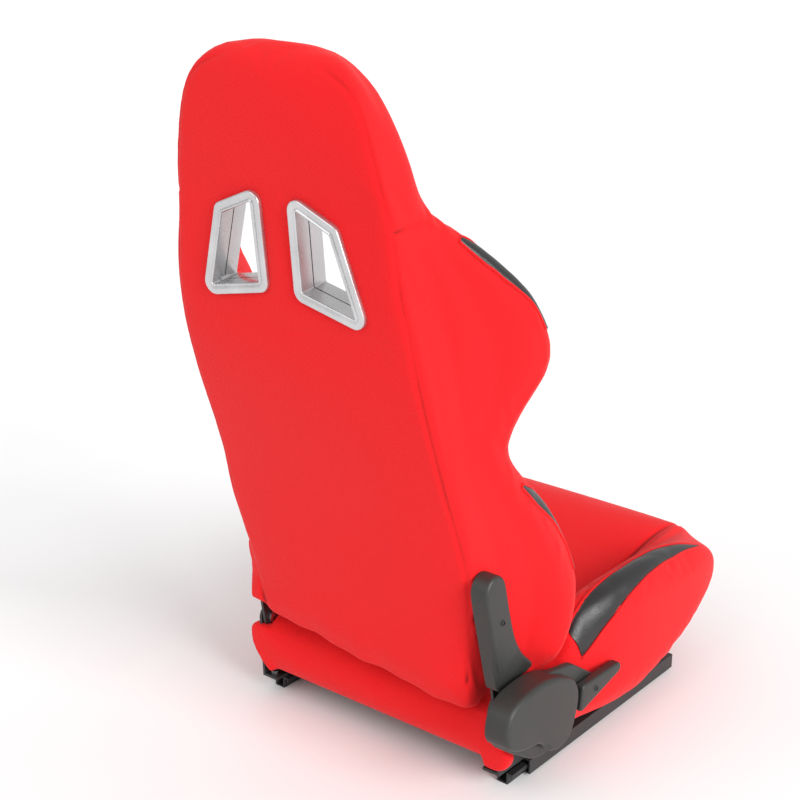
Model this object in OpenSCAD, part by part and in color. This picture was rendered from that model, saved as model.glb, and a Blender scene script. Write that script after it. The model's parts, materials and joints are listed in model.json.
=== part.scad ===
// Reclining bucket seat on sliding rails.
// +Z is up, the seat faces -Y and the sitter's left is +X.
// The origin is on the floor, in the middle of the four floor bolt holes.

/* [Overall] */
// Width of the seat over the shoulder wings
seat_w = 544; // [480:1:660]
// Height of the top of the head over the floor
seat_h = 978; // [840:1:1120]
// Thickness of the sewn cover
cover_t = 2; // [1.5:0.1:3]
// Gap between the foam and its cover
foam_gap = 0.4; // [0.3:0.1:0.8]

/* [Rails] */
// Distance between the two rail centrelines
rail_spacing = 400; // [350:1:430]
// Length of each rail
rail_len = 370; // [330:1:430]
// Width of the upper rail
rail_w = 41; // [38:0.5:46]
// Height of the top of the upper rail over the floor
rail_h = 25; // [24:0.5:30]
// Sheet thickness of the rails
rail_t = 2; // [1.6:0.1:2.4]
// Distance that the seat stands forward of the middle of its rails
slide_rest = 34; // [0:1:60]
// Radius of a floor bolt hole
floor_hole_r = 4.25; // [3.2:0.05:4.5]
// Distance between the front and the rear floor bolt holes
floor_hole_pitch = 330; // [250:1:340]
// Radius of a rail roller
roller_r = 2.9; // [2.2:0.1:3]

/* [Hinge] */
// Position of the recliner pivot behind the origin
pivot_y = 195; // [185:1:200]
// Height of the recliner pivot
pivot_z = 120; // [115:1:125]
// Radius of the recliner pivot bolt
pivot_r = 6; // [4:0.25:7]
// Running clearance of a pivot in its bore
pivot_gap = 0.05; // [0.02:0.01:0.1]
// Thickness of the recliner plates and arms
plate_t = 4; // [3:0.5:4.5]
// Distance from the middle of the seat to the inner face of a hinge arm
hinge_x = 200; // [199:0.5:202]
// Number of teeth in a full turn of the recliner sector
sector_teeth = 40; // [24:1:60]
// Outer radius of the recliner sector
sector_r = 30; // [26:0.5:32]

/* [Covers] */
// Wall of the moulded covers
shell_t = 2.5; // [1.8:0.1:3.5]
// Distance from the middle to the outer face of the recliner cover
cover_face_x = 270; // [262:1:282]
// Depth of the recliner cover
cover_depth = 35; // [30:1:38]
// Distance from the middle to the outer face of the arm cover
arm_face_x = 226; // [220:1:232]
// Radius of a cover screw
screw_r = 2; // [1.5:0.25:3]

/* [Harness holes] */
// Thickness of a bezel flange
bezel_t = 3; // [2:0.25:4]
// Width of a bezel flange
bezel_w = 13; // [10:0.5:18]
// Wall of a bezel sleeve
sleeve_t = 2.5; // [1.5:0.25:3.5]
// Thickness of the backrest between its two bezels
hole_depth = 41; // [39:0.5:45]

/* [Controls] */
// Radius of the slide adjuster bar
bar_r = 5; // [4:0.25:6]
// Radius of the adjuster grip
grip_r = 9; // [7.5:0.25:11]
// Radius of a latch pivot pin
latch_pin_r = 3; // [2:0.25:3.5]
// Radius of the recliner lever shaft
lever_shaft_r = 5; // [4:0.25:6]

/* [Hidden] */
$fn = 48;
eps = 0.01;
sx = seat_w / 544;
sz = (seat_h - pivot_z) / 858;

cloth = [0.9, 0.13, 0.15];
vinyl = [0.13, 0.13, 0.13];
foam = [0.85, 0.78, 0.55];
steel = [0.18, 0.18, 0.19];
zinc = [0.65, 0.66, 0.68];
plastic = [0.22, 0.23, 0.22];
silver = [0.76, 0.76, 0.78];

// ---------- smooth rows: every column of a table runs through its rows as one curve ----------

function spline(a, b, c, d, t) =
    0.5 * (2 * b + (c - a) * t + (2 * a - 5 * b + 4 * c - d) * t * t + (3 * b - a - 3 * c + d) * t * t * t);
function row_at(rows, u) =
    let(n = len(rows) - 1, i = min(floor(u), n - 1), t = u - i)
    spline(rows[max(i - 1, 0)], rows[i], rows[i + 1], rows[min(i + 2, n)], t);
function ring_rows(rows, steps) = [for (k = [0:steps * (len(rows) - 1)]) row_at(rows, k / steps)];
function clamp01(v) = min(max(v, 0), 1);
function arc2(c, r, a0, a1, n) = [for (k = [0:n]) let(a = a0 + (a1 - a0) * k / n) c + r * [cos(a), sin(a)]];
function mix2(a, b, t) = a + (b - a) * t;

// a half outline runs from x = 0 round to x = 0 again, and this adds its mirror image
function both_sides(half) =
    concat(half, [for (k = [len(half) - 2:-1:1]) [-half[k].x, half[k].y]]);

// closed body through rings that have equal numbers of points
module loft(rings) {
    n = len(rings[0]);
    m = len(rings);
    pts = [for (r = rings) each r];
    sides = [
        for (j = [0:m - 2])
            for (i = [0:n - 1])
                let(a = j * n + i, b = j * n + (i + 1) % n)
                each [[a, b, b + n], [a, b + n, a + n]]
    ];
    caps = [
        for (i = [1:n - 2])
            each [[0, i + 1, i], [(m - 1) * n, (m - 1) * n + i, (m - 1) * n + i + 1]]
    ];
    polyhedron(pts, concat(sides, caps), convexity = 6);
}

// thin sheet between two matching grids of points; turned swaps the diagonal of every cell
module patch(inner, outer, turned) {
    n = len(inner[0]);
    m = len(inner);
    k = n * m;
    pts = concat([for (r = inner) each r], [for (r = outer) each r]);
    skin = [
        for (j = [0:m - 2])
            for (i = [0:n - 2])
                let(a = j * n + i, b = a + 1, c = a + n, d = c + 1)
                each turned ? [[a, b, c], [b, d, c]] : [[a, b, d], [a, d, c]]
    ];
    rim = concat(
        [for (i = [0:n - 2]) [i, i + 1]],
        [for (i = [0:n - 2]) [k - n + i + 1, k - n + i]],
        [for (j = [0:m - 2]) [(j + 1) * n, j * n]],
        [for (j = [0:m - 2]) [j * n + n - 1, j * n + 2 * n - 1]]
    );
    polyhedron(
        pts,
        concat(
            [for (f = skin) [f[2], f[1], f[0]]],
            [for (f = skin) [f[0] + k, f[1] + k, f[2] + k]],
            [for (e = rim) each [[e[1] + k, e[0] + k, e[0]], [e[1] + k, e[0], e[1]]]]
        ),
        convexity = 6
    );
}

// keeps a body made of facets whole when something is cut from it
module solid() {
    resize([0, 0, 0]) difference() {
        children(0);
        children([1:$children - 1]);
    }
}

module both() {
    children();
    mirror([1, 0, 0]) children();
}

// body along X between two distances from the middle, from an outline in Y and Z
module side_plate(x0, x1) {
    translate([x0, 0, 0]) rotate([90, 0, 90]) linear_extrude(x1 - x0) children();
}

module side_pin(x0, x1, y, z, r) {
    translate([x0, y, z]) rotate([0, 90, 0]) cylinder(h = x1 - x0, r = r);
}

module rod(a, b, r) {
    d = b - a;
    turn = atan2(d.y, d.x);
    lean = acos(d.z / norm(d));
    translate(a) rotate([0, lean, turn]) cylinder(h = norm(d), r = r);
}

// extra radius of the round collar at a bend of a tube, and how far its tubes stop short of it
collar = 2.5;
collar_trim = 0.3;

module rod_path(points, r) {
    last = len(points) - 2;
    for (i = [0:last])
        let(a = points[i], b = points[i + 1], step = (b - a) / norm(b - a) * collar_trim * r)
        rod(a + (i > 0 ? step : [0, 0, 0]), b - (i < last ? step : [0, 0, 0]), r);
    for (i = [1:last]) translate(points[i]) sphere(r + collar);
}

// ---------- backrest outline ----------

rear_corner = 12;
crown = 4;
// height, rear half width, rear face, widest half width, wing depth, tip radius, thickness, insert half width
back_rows = [
    [152, 170, 228, 206, 60, 20, 56, 140],
    [158, 179, 234, 224, 130, 26, 66, 140],
    [185, 184, 240, 244, 148, 30, 72, 142],
    [225, 189, 248, 253, 166, 32, 76, 144],
    [280, 197, 260, 256, 179, 32, 80, 146],
    [340, 203, 274, 252, 171, 31, 80, 146],
    [400, 200, 291, 243, 154, 29, 76, 145],
    [460, 198, 311, 234, 126, 28, 70, 144],
    [500, 197, 325, 232, 118, 27, 66, 143],
    [545, 196, 340, 246, 143, 27, 60, 143],
    [590, 195, 353, 265, 174, 27, 52, 143],
    [630, 193, 362, 272, 180, 27, 45, 143],
    [665, 190, 369, 271, 168, 27, 40, 143],
    [700, 186, 373, 261, 154, 27, 39, 142],
    [735, 180, 376, 236, 130, 26, 39, 141],
    [765, 176, 378, 208, 109, 26, 39, 138],
    [788, 174, 379, 178, 94, 28, 42, 126],
    [810, 171, 382, 170, 86, 31, 50, 116],
    [845, 163, 387, 166, 78, 34, 73, 108],
    [890, 152, 391, 153, 70, 34, 69, 98],
    [930, 136, 391, 127, 66, 31, 63, 80],
    [956, 112, 386, 99, 53, 24, 51, 62],
    [971, 83, 377, 70, 37, 15, 36, 42],
    [978, 41, 364, 36, 16, 7, 15, 20]
];
back_steps = 2;

function back_half(q, t) =
    let(
        w = q[1] * sx - t,
        yr = q[2] - t,
        wide = q[3] * sx - t,
        front = q[2] - q[4] + t,
        r = max(q[5] - t, 3),
        flat_y = q[2] - q[6] + t,
        inner_x = min(q[7] * sx + t, wide - r - 1),
        rise = clamp01((q[4] - q[6]) / (1.2 * q[5])),
        tip = [wide - r, front + r],
        turn = arc2(tip, r, 0, -90 - 78 * rise, 4),
        last = turn[4],
        corner = [inner_x, flat_y]
    )
    concat(
        [for (k = [0:1]) let(x = (w - rear_corner) * k / 2) [x, yr + crown * (1 - pow(x / w, 2))]],
        arc2([w - rear_corner, yr - rear_corner], rear_corner, 90, 0, 2),
        [
            for (k = [1:2])
                let(u = k / 3, d = rear_corner + (yr - rear_corner - tip.y) * u)
                [w + (wide - w) * pow(u, 2.2), yr - d]
        ],
        turn,
        [mix2(last, corner, 0.5) + [2, -2] * rise, corner + [0, -2] * rise],
        [[inner_x * 0.6, flat_y], [0, flat_y]]
    );

// the rows stand on the pivot height, so that a taller backrest keeps its hinge
function back_z(z, t) =
    let(h = pivot_z + (z - 120) * sz, lo = pivot_z + 32 * sz, hi = pivot_z + 858 * sz)
    lo + t + (h - lo) * (hi - lo - 2 * t) / (hi - lo);
function end_of(z) = z == back_rows[0][0] ? 1 : z == back_rows[len(back_rows) - 1][0] ? -1 : 0;

// rings at a depth t under the outside; gap takes them further in, and moves the two ends
function back_rings(t, gap = 0) = [
    for (q = ring_rows(back_rows, back_steps))
        [for (p = both_sides(back_half(q, t + gap))) [p.x, p.y, back_z(q[0], t) + gap * end_of(q[0])]]
];
function rear_y(z) = lookup(pivot_z + (z - pivot_z) / sz, [for (q = back_rows) [q[0], q[2]]]);

module back_body(t, gap = 0) {
    loft(back_rings(t, gap));
}

// ---------- cushion outline ----------

foot_corner = 26;
// position, underside, widest half width, bolster top, bolster radius, insert top, insert half width
cushion_rows = [
    [-332, 124, 208, 142, 12, 164, 168],
    [-320, 116, 227, 160, 20, 184, 170],
    [-300, 111, 241, 179, 24, 196, 167],
    [-270, 99, 251, 196, 26, 197, 163],
    [-230, 78, 256, 210, 28, 190, 160],
    [-180, 56, 258, 223, 29, 177, 158],
    [-120, 42, 259, 233, 29, 167, 157],
    [-60, 36, 258, 235, 29, 158, 157],
    [0, 35, 250, 229, 29, 149, 158],
    [48, 35, 238, 214, 28, 143, 158],
    [76, 35, 235, 188, 27, 140, 160],
    [96, 35, 229, 151, 25, 136, 160],
    [130, 35, 226, 144, 24, 131, 160],
    [170, 35, 224, 136, 24, 126, 160],
    [200, 38, 220, 124, 22, 116, 158],
    [212, 47, 211, 112, 20, 106, 156],
    [218, 62, 194, 94, 14, 90, 150]
];
cushion_steps = 2;

function cushion_half(q, t) =
    let(
        under = q[1] + t,
        wide = q[2] * sx - t,
        top = q[3] - t,
        r = max(q[4] - t, 3),
        foot = min(foot_corner, 0.4 * (top - under)),
        flat_z = q[5] - t,
        inner_x = q[6] * sx + t,
        rise = clamp01((q[3] - q[5]) / (1.2 * q[4])),
        tip = [wide - r, max(top - r, under + foot + 1)],
        turn = arc2(tip, min(r, top - tip.y), 0, 90 + 70 * rise, 5),
        last = turn[5],
        corner = [min(inner_x, last.x - 1), flat_z]
    )
    concat(
        [[0, under], [(wide - foot) * 0.6, under]],
        arc2([wide - foot, under + foot], foot, -90, 0, 2),
        turn,
        [mix2(last, corner, 0.5) + [2, 2] * rise, corner + [0, 1] * rise],
        [[corner.x * 0.6, flat_z + 2], [0, flat_z + 3]]
    );
function cushion_y(y, t) = let(lo = -332, hi = 218) lo + t + (y - lo) * (hi - lo - 2 * t) / (hi - lo);
function cushion_rings(t) =
    [for (q = ring_rows(cushion_rows, cushion_steps)) [for (p = both_sides(cushion_half(q, t))) [p.x, cushion_y(q[0], t), p.y]]];

module cushion_body(t) {
    loft(cushion_rings(t));
}

// ---------- rails ----------

rail_x = rail_spacing / 2;
slide_gap = 0.5;
base_w = 17;
lip_w = 32;
lower_top = rail_h - rail_t - 2 * roller_r - 0.1;
lip_drop = 6;
upper_low = 3.7;
curl_in = 11;
curl_up = 5.3;
notch_pitch = 15;
notch_w = 7;
notch_count = 8;
latch_y = -100;
latch_z = 12;
latch_len = 40;
window_y = 30;

// half of a folded strip, as boxes beside the rail's middle
module lower_section() {
    translate([-base_w / 2, 0]) square([base_w, rail_t]);
    for (s = [-1, 1]) {
        translate([s * (base_w - rail_t) / 2 - rail_t / 2, 0]) square([rail_t, lower_top]);
        translate([s * (base_w + lip_w - 2 * rail_t) / 4 - (lip_w - base_w + 2 * rail_t) / 4, lower_top - rail_t])
            square([(lip_w - base_w + 2 * rail_t) / 2, rail_t]);
        translate([s * (lip_w - rail_t) / 2 - rail_t / 2, lower_top - lip_drop]) square([rail_t, lip_drop]);
    }
}

module upper_section() {
    translate([-rail_w / 2, rail_h - rail_t]) square([rail_w, rail_t]);
    for (s = [-1, 1]) {
        translate([s * (rail_w - rail_t) / 2 - rail_t / 2, upper_low]) square([rail_t, rail_h - upper_low]);
        translate([s * (rail_w / 2 + curl_in) / 2 - (rail_w / 2 - curl_in) / 2, upper_low])
            square([rail_w / 2 - curl_in, rail_t]);
        translate([s * (curl_in + rail_t / 2) - rail_t / 2, upper_low]) square([rail_t, curl_up]);
    }
}

module rail_extrude(y0, length) {
    translate([rail_x, y0 + length, 0]) rotate([90, 0, 0]) linear_extrude(length) children();
}

// the left rail; its notches are on the inner lip
module lower_rail() {
    difference() {
        rail_extrude(-rail_len / 2, rail_len) lower_section();
        for (s = [-1, 1])
            translate([rail_x, s * floor_hole_pitch / 2, -eps]) cylinder(h = rail_t + 2 * eps, r = floor_hole_r);
        for (k = [-notch_count:notch_count])
            translate([rail_x - lip_w / 2 - eps, k * notch_pitch - notch_w / 2, lower_top - lip_drop - eps])
                cube([rail_t + 2 * eps, notch_w, lip_drop - rail_t]);
    }
}

module upper_rail() {
    difference() {
        rail_extrude(-rail_len / 2 - slide_rest, rail_len) upper_section();
        translate([rail_x - rail_w / 2 - eps, latch_y + latch_len - window_y / 2 - 6, 0])
            cube([rail_w / 2 - curl_in + 4, window_y, 15]);
    }
}

cage_len = 220;
cage_t = 1.2;
roller_len = 28;
roller_spots = [-90, -30, 30, 90];
roller_z = lower_top + roller_r + 0.05;

module roller_cage() {
    translate([rail_x, -slide_rest / 2, roller_z]) difference() {
        cube([lip_w + 1, cage_len, cage_t], center = true);
        for (y = roller_spots) translate([0, y, 0]) cube([roller_len + 0.6, 2 * roller_r + 0.6, 5], center = true);
    }
}

module rollers() {
    for (y = roller_spots)
        side_pin(rail_x - roller_len / 2, rail_x + roller_len / 2, y - slide_rest / 2, roller_z, roller_r);
}

module lower_rail_right() {
    color(steel) mirror([1, 0, 0]) lower_rail();
}

module lower_rail_left() {
    color(steel) lower_rail();
}

module roller_cage_right() {
    color(zinc) mirror([1, 0, 0]) roller_cage();
}

module roller_cage_left() {
    color(zinc) roller_cage();
}

module rail_rollers() {
    color(zinc) both() rollers();
}

module upper_rail_right() {
    color(steel) mirror([1, 0, 0]) upper_rail();
}

module upper_rail_left() {
    color(steel) upper_rail();
}

// ---------- seat pan ----------

pan_x = 150 * sx;
pan_front = -262;
pan_rear = 185;
pan_top = 34.3 + cover_t + foam_gap;
pan_z = 30;
pan_rim = 26;
member_w = 34;
member_spots = [-130, 100];
bolt_r = 4;
bolt_head_r = 6.5;
bolt_head_h = 3.8;

module pan_frame() {
    color(steel) difference() {
        union() {
            translate([-pan_x, pan_front, pan_z]) cube([2 * pan_x, pan_rear - pan_front, pan_top - pan_z]);
            for (y = member_spots)
                translate([-rail_x - 12, y - member_w / 2, rail_h]) cube([2 * rail_x + 24, member_w, pan_z - rail_h]);
        }
        translate([-pan_x + pan_rim, pan_front + pan_rim, rail_h - 1])
            cube([2 * (pan_x - pan_rim), member_spots[0] - member_w / 2 - pan_front - pan_rim, 20]);
        translate([-pan_x + pan_rim, member_spots[0] + member_w / 2, rail_h - 1])
            cube([2 * (pan_x - pan_rim), member_spots[1] - member_spots[0] - member_w, 20]);
        translate([-pan_x + pan_rim, member_spots[1] + member_w / 2, rail_h - 1])
            cube([2 * (pan_x - pan_rim), pan_rear - pan_rim - member_spots[1] - member_w / 2, 20]);
        for (s = [-1, 1], y = member_spots)
            translate([s * rail_x, y, rail_h - 1]) cylinder(h = pan_z - rail_h + 2, r = bolt_r);
    }
}

pan_wire_r = 1.6;
pan_wires = 7;

module pan_springs() {
    span = member_spots[1] - member_spots[0] - member_w;
    color(zinc)
        for (k = [1:pan_wires])
            side_pin(
                -pan_x + pan_rim, pan_x - pan_rim,
                member_spots[0] + member_w / 2 + span * k / (pan_wires + 1), pan_z + 3, pan_wire_r
            );
}

module pan_bolts() {
    color(zinc)
        for (s = [-1, 1], y = member_spots)
            translate([s * rail_x, y, pan_z]) cylinder(h = bolt_head_h, r = bolt_head_r);
}

// ---------- cushion ----------

slot_front = 128;
bolt_inside = 4;
slot_in = hinge_x - bolt_inside - 0.6;
plate_x = hinge_x + plate_t + 3;
slot_out = plate_x + plate_t + 2;
sole_x = 176 * sx;

// clear space for the hinge plates beside the cushion: a slot on the left, open on the right
module hinge_space(grow) {
    y0 = slot_front - grow;
    x0 = slot_in - grow;
    translate([x0, y0, -1]) cube([slot_out + 2 * grow - slot_in, pivot_y + 18 + grow - y0, 300]);
    translate([x0, y0, pivot_z - 24 - grow]) cube([slot_out + 2 * grow - slot_in, 200, 300]);
    translate([-300, y0, -1]) cube([300 - x0, 200, 300]);
}

module cushion_foam() {
    color(foam) solid() {
        cushion_body(cover_t + foam_gap);
        hinge_space(cover_t + foam_gap);
    }
}

module cushion_cover() {
    color(cloth) solid() {
        cushion_body(0);
        difference() {
            cushion_body(cover_t);
            hinge_space(cover_t);
        }
        translate([-sole_x, pan_front - 8, 0]) cube([2 * sole_x, pan_rear - pan_front + 16, 60]);
        hinge_space(0);
    }
}

accent_t = 1.2;
accent_gap = 0.5;
// rings and outline points that the cushion accent covers
accent_rings = [8:19];
accent_points = [5:8];

function ring_part(rings, rows, cols) = [for (j = rows) [for (i = cols) rings[j][i]]];

module cushion_accent(turned) {
    patch(
        ring_part(cushion_rings(-accent_gap), accent_rings, accent_points),
        ring_part(cushion_rings(-accent_gap - accent_t), accent_rings, accent_points),
        turned
    );
}

module cushion_accent_right() {
    color(vinyl) mirror([1, 0, 0]) cushion_accent(true);
}

module cushion_accent_left() {
    color(vinyl) cushion_accent(false);
}

// ---------- recliner ----------

lever_y = 155;
lever_z = 118;
pawl_y = 158;
pawl_z = 88;
post_r = 4;
post_spots = [[166, 77], [146, 100]];

module recliner_plate(lever) {
    difference() {
        union() {
            side_plate(plate_x, plate_x + plate_t) hull() {
                translate([pivot_y, pivot_z]) circle(17);
                translate([pivot_y - 55, rail_h]) square([68, 12]);
                translate([lever_y, lever_z]) circle(14);
            }
            side_pin(plate_x - 2.6, plate_x + eps, pivot_y, pivot_z, 13);
            translate([rail_x - 16, pivot_y - 55, rail_h]) cube([plate_x + plate_t - rail_x + 16, 68, 4]);
        }
        side_pin(plate_x - 5, plate_x + plate_t + 1, pivot_y, pivot_z, pivot_r);
        for (y = [pivot_y - 43, pivot_y + 1])
            translate([rail_x - 1, y, rail_h - 1]) cylinder(h = 8, r = bolt_r);
        if (lever) {
            side_pin(plate_x - 1, plate_x + plate_t + 1, lever_y, lever_z, lever_shaft_r + pivot_gap);
            side_pin(plate_x - 1, plate_x + plate_t + 1, pawl_y, pawl_z, pawl_pin_r);
        }
    }
}

module recliner_plate_right() {
    color(steel) mirror([1, 0, 0]) recliner_plate(true);
}

module recliner_plate_left() {
    color(steel) recliner_plate(false);
}

module plate_bolts() {
    color(zinc)
        for (s = [-1, 1], y = [pivot_y - 43, pivot_y + 1])
            translate([s * (rail_x - 1), y, rail_h + 4]) cylinder(h = bolt_head_h, r = 6);
}

bolt_cap_h = 1.6;

module pivot_bolt() {
    side_pin(hinge_x - bolt_inside, plate_x + plate_t, pivot_y, pivot_z, pivot_r);
    side_pin(hinge_x - bolt_inside, hinge_x - 0.4, pivot_y, pivot_z, pivot_r + 4);
    side_pin(plate_x + plate_t, plate_x + plate_t + bolt_cap_h, pivot_y, pivot_z, pivot_r + 4);
}

module pivot_bolt_right() {
    color(zinc) mirror([1, 0, 0]) pivot_bolt();
}

module pivot_bolt_left() {
    color(zinc) pivot_bolt();
}

spring_turns = 2.5;
spring_in = pivot_r + 4.6;
spring_pitch = 5;
spring_strip = 2;

function spiral(r0, n) =
    [for (k = [0:n]) let(a = 360 * spring_turns * k / n) (r0 + spring_pitch * a / 360) * [cos(a), sin(a)]];

module recliner_spring() {
    n = 60;
    x0 = plate_x + plate_t + 0.6;
    inner = spiral(spring_in, n);
    outer = spiral(spring_in + spring_strip, n);
    color(zinc) mirror([1, 0, 0])
        translate([0, pivot_y, pivot_z])
            side_plate(x0, x0 + 6) polygon(concat(inner, [for (k = [n:-1:0]) outer[k]]));
}

cover_points = [
    [276, 150], [263, 172], [219, 181], [175, 178], [125, 157], [113, 137], [111, 118], [121, 84],
    [134, 66], [170, 62], [192, 90], [215, 96], [244, 100], [276, 120]
];
cover_corner = 14;

// outline of the recliner cover's outer face: a rounded drum with a notch below its rear
module cover_outline(inset) {
    offset(r = cover_corner - inset) offset(delta = -cover_corner) polygon(cover_points);
}

// outline of the cover's low front part, behind the lever
module wing_outline() {
    hull() {
        translate([160, 128]) circle(44);
        translate([118, 132]) circle(32);
        translate([64, 112]) circle(17);
        translate([53, 104]) circle(13);
    }
}

wing_face_x = 253;
wing_in_x = 243;
cover_in_x = cover_face_x - cover_depth;
cover_round = 4;

module recliner_cover() {
    slot_z = 40;
    color(plastic) mirror([1, 0, 0]) difference() {
        union() {
            side_plate(cover_in_x, cover_face_x - cover_round) cover_outline(0);
            side_plate(cover_face_x - cover_round - eps, cover_face_x - 1.4) cover_outline(1.2);
            side_plate(cover_face_x - 1.5, cover_face_x) cover_outline(3.2);
            side_plate(wing_in_x, wing_face_x) wing_outline();
        }
        side_plate(cover_in_x - 1, cover_face_x - cover_round) cover_outline(shell_t + 0.5);
        side_plate(wing_in_x - 1, wing_face_x - shell_t) offset(delta = -shell_t) wing_outline();
        translate([lever_x - 1, 60, lever_z - 12]) cube([plate_t + 1, 90, slot_z]);
    }
}

lever_x = 257;
lever_t = 3;

// posts that hold the recliner cover on its plate
module recliner_posts() {
    color(steel) mirror([1, 0, 0])
        for (p = post_spots)
            side_pin(plate_x + plate_t, cover_face_x - cover_round, p.x, p.y, post_r);
}

// ---------- recliner lever and pawl ----------

pawl_pin_r = 4;
pawl_nose = sector_r + 0.8;

module lever_arm() {
    color(steel) mirror([1, 0, 0]) {
        side_pin(hinge_x, lever_x + 1, lever_y, lever_z, lever_shaft_r);
        side_pin(plate_x + plate_t + 0.5, lever_x + 0.5, lever_y, lever_z, lever_shaft_r + 2.5);
        side_pin(hinge_x, hinge_x + plate_t, lever_y, lever_z, lever_shaft_r + 3);
        side_plate(lever_x, lever_x + lever_t) difference() {
            hull() {
                translate([lever_y, lever_z]) circle(9);
                translate([36, 118]) circle(4.5);
            }
            translate(lever_screw_at) circle(screw_r + 0.2);
        }
    }
}

handle_x0 = 255.5;
handle_x1 = 267;
lever_screw_at = [68, 114];

module handle_outline() {
    hull() {
        translate([15, 119]) circle(10);
        translate([95, 124]) circle(7);
        translate([99, 99]) circle(6);
        translate([60, 112]) circle(9);
    }
}

module lever_handle() {
    color(plastic) mirror([1, 0, 0]) difference() {
        union() {
            side_plate(handle_x0, handle_x1 - 2) handle_outline();
            side_plate(handle_x1 - 2 - eps, handle_x1) offset(delta = -1.8) handle_outline();
        }
        side_plate(lever_x - 0.2, lever_x + lever_t + 0.2) hull() {
            translate([lever_y, lever_z]) circle(9.2);
            translate([36, 118]) circle(4.7);
        }
        side_pin(lever_x, handle_x1 + 1, lever_screw_at.x, lever_screw_at.y, screw_r);
    }
}

module lever_screw() {
    color(zinc) mirror([1, 0, 0]) side_pin(lever_x, handle_x1 + 0.8, lever_screw_at.x, lever_screw_at.y, screw_r);
}

module recliner_pawl() {
    away = norm([pivot_y - pawl_y, pivot_z - pawl_z]);
    nose = [pawl_y, pawl_z] + [pivot_y - pawl_y, pivot_z - pawl_z] * (away - pawl_nose - 2) / away;
    color(steel) mirror([1, 0, 0]) side_plate(hinge_x, hinge_x + plate_t) difference() {
        union() {
            hull() {
                translate([pawl_y, pawl_z]) circle(8);
                translate(nose) circle(2);
            }
            hull() {
                translate([pawl_y, pawl_z]) circle(8);
                translate([pawl_y - 6, pawl_z + 14]) circle(3);
            }
        }
        translate([pawl_y, pawl_z]) circle(pawl_pin_r + pivot_gap);
    }
}

module pawl_pin() {
    color(zinc) mirror([1, 0, 0]) {
        side_pin(hinge_x - 0.6, plate_x + plate_t, pawl_y, pawl_z, pawl_pin_r);
        side_pin(hinge_x - 2.6, hinge_x - 0.6, pawl_y, pawl_z, pawl_pin_r + 2);
    }
}

// ---------- slide adjuster ----------

bar_x = 168;
bar_front = -308;
bar_back = latch_y;
grip_len = 170;
eye_w = 2 * bar_r + 0.6;

module latch_pins() {
    x1 = rail_x - rail_w / 2;
    color(zinc) both() {
        side_pin(bar_x - eye_w / 2 - 1, x1, latch_y, latch_z, latch_pin_r);
        side_pin(bar_x - eye_w / 2 - 3, bar_x - eye_w / 2 - 1, latch_y, latch_z, latch_pin_r + 1.5);
    }
}

module adjuster_bar() {
    corner = 30;
    color(steel) difference() {
        union() {
            for (s = [-1, 1]) {
                side_pin(s * bar_x - eye_w / 2, s * bar_x + eye_w / 2, latch_y, latch_z, bar_r + 2);
                rod([s * bar_x, latch_y - 4, latch_z], [s * bar_x, bar_front + corner, latch_z], bar_r);
                translate([s * (bar_x - corner), bar_front + corner, latch_z])
                    rotate([0, 0, s > 0 ? -90 : 180]) rotate_extrude(angle = 90) translate([corner, 0]) circle(bar_r);
            }
            side_pin(-bar_x + corner, bar_x - corner, bar_front, latch_z, bar_r);
        }
        both() side_pin(bar_x - eye_w, bar_x + eye_w, latch_y, latch_z, latch_pin_r + pivot_gap);
    }
}

module adjuster_grip() {
    color(plastic) difference() {
        side_pin(-grip_len / 2, grip_len / 2, bar_front, latch_z, grip_r);
        side_pin(-grip_len, grip_len, bar_front, latch_z, bar_r);
    }
}

// arm behind the bar's eye, with a tooth that reaches under the notched lip
module latch() {
    x0 = bar_x + eye_w / 2;
    tip_x = rail_x - lip_w / 2 + rail_t + 1;
    tooth_z = lower_top - lip_drop - 0.6;
    difference() {
        union() {
            translate([x0, latch_y - 7, latch_z - 5]) cube([3, latch_len + 13, 8]);
            translate([x0, latch_y + latch_len - notch_w / 2 + 1, tooth_z - 3])
                cube([tip_x - x0, notch_w - 2, 3]);
        }
        side_pin(x0 - 1, x0 + 5, latch_y, latch_z, latch_pin_r + 0.4);
    }
}

module latch_right() {
    color(steel) mirror([1, 0, 0]) latch();
}

module latch_left() {
    color(steel) latch();
}

// ---------- backrest structure ----------

tube_r = 11;
tube_gap = 0.4;
tube_x = 168 * sx;
tube_in = 30;
hole_lean = 5.7;
hole_y = 376.5;
hole_z = 700;

function tube_point(x, z) = [x, rear_y(z) - tube_in, z];
function up(z) = pivot_z + (z - 120) * sz;

module frame_tubes(r) {
    low = up(185);
    neck = up(640);
    side = [
        tube_point(tube_x, low), tube_point(tube_x, up(330)), tube_point(tube_x, neck),
        tube_point(tube_x - 12, up(790)), tube_point(tube_x - 45, up(880))
    ];
    rod_path(concat([for (p = side) [-p.x, p.y, p.z]], [for (k = [4:-1:0]) side[k]]), r);
    for (z = [low + 30, neck - 25]) rod(tube_point(-tube_x, z), tube_point(tube_x, z), r - 2);
}

module back_frame() {
    color(steel) frame_tubes(tube_r);
}

wire_r = 1.5;
wire_count = 6;

module back_wires(r) {
    for (k = [1:wire_count]) {
        z = up(240 + 62 * (k - 1));
        p = tube_point(tube_x - tube_r + 0.1, z);
        rod([-p.x, p.y, p.z], p, r);
    }
}

module back_springs() {
    color(zinc) back_wires(wire_r);
}

arm_bolt_spots = [[213, 206], [222, 236]];

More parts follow.
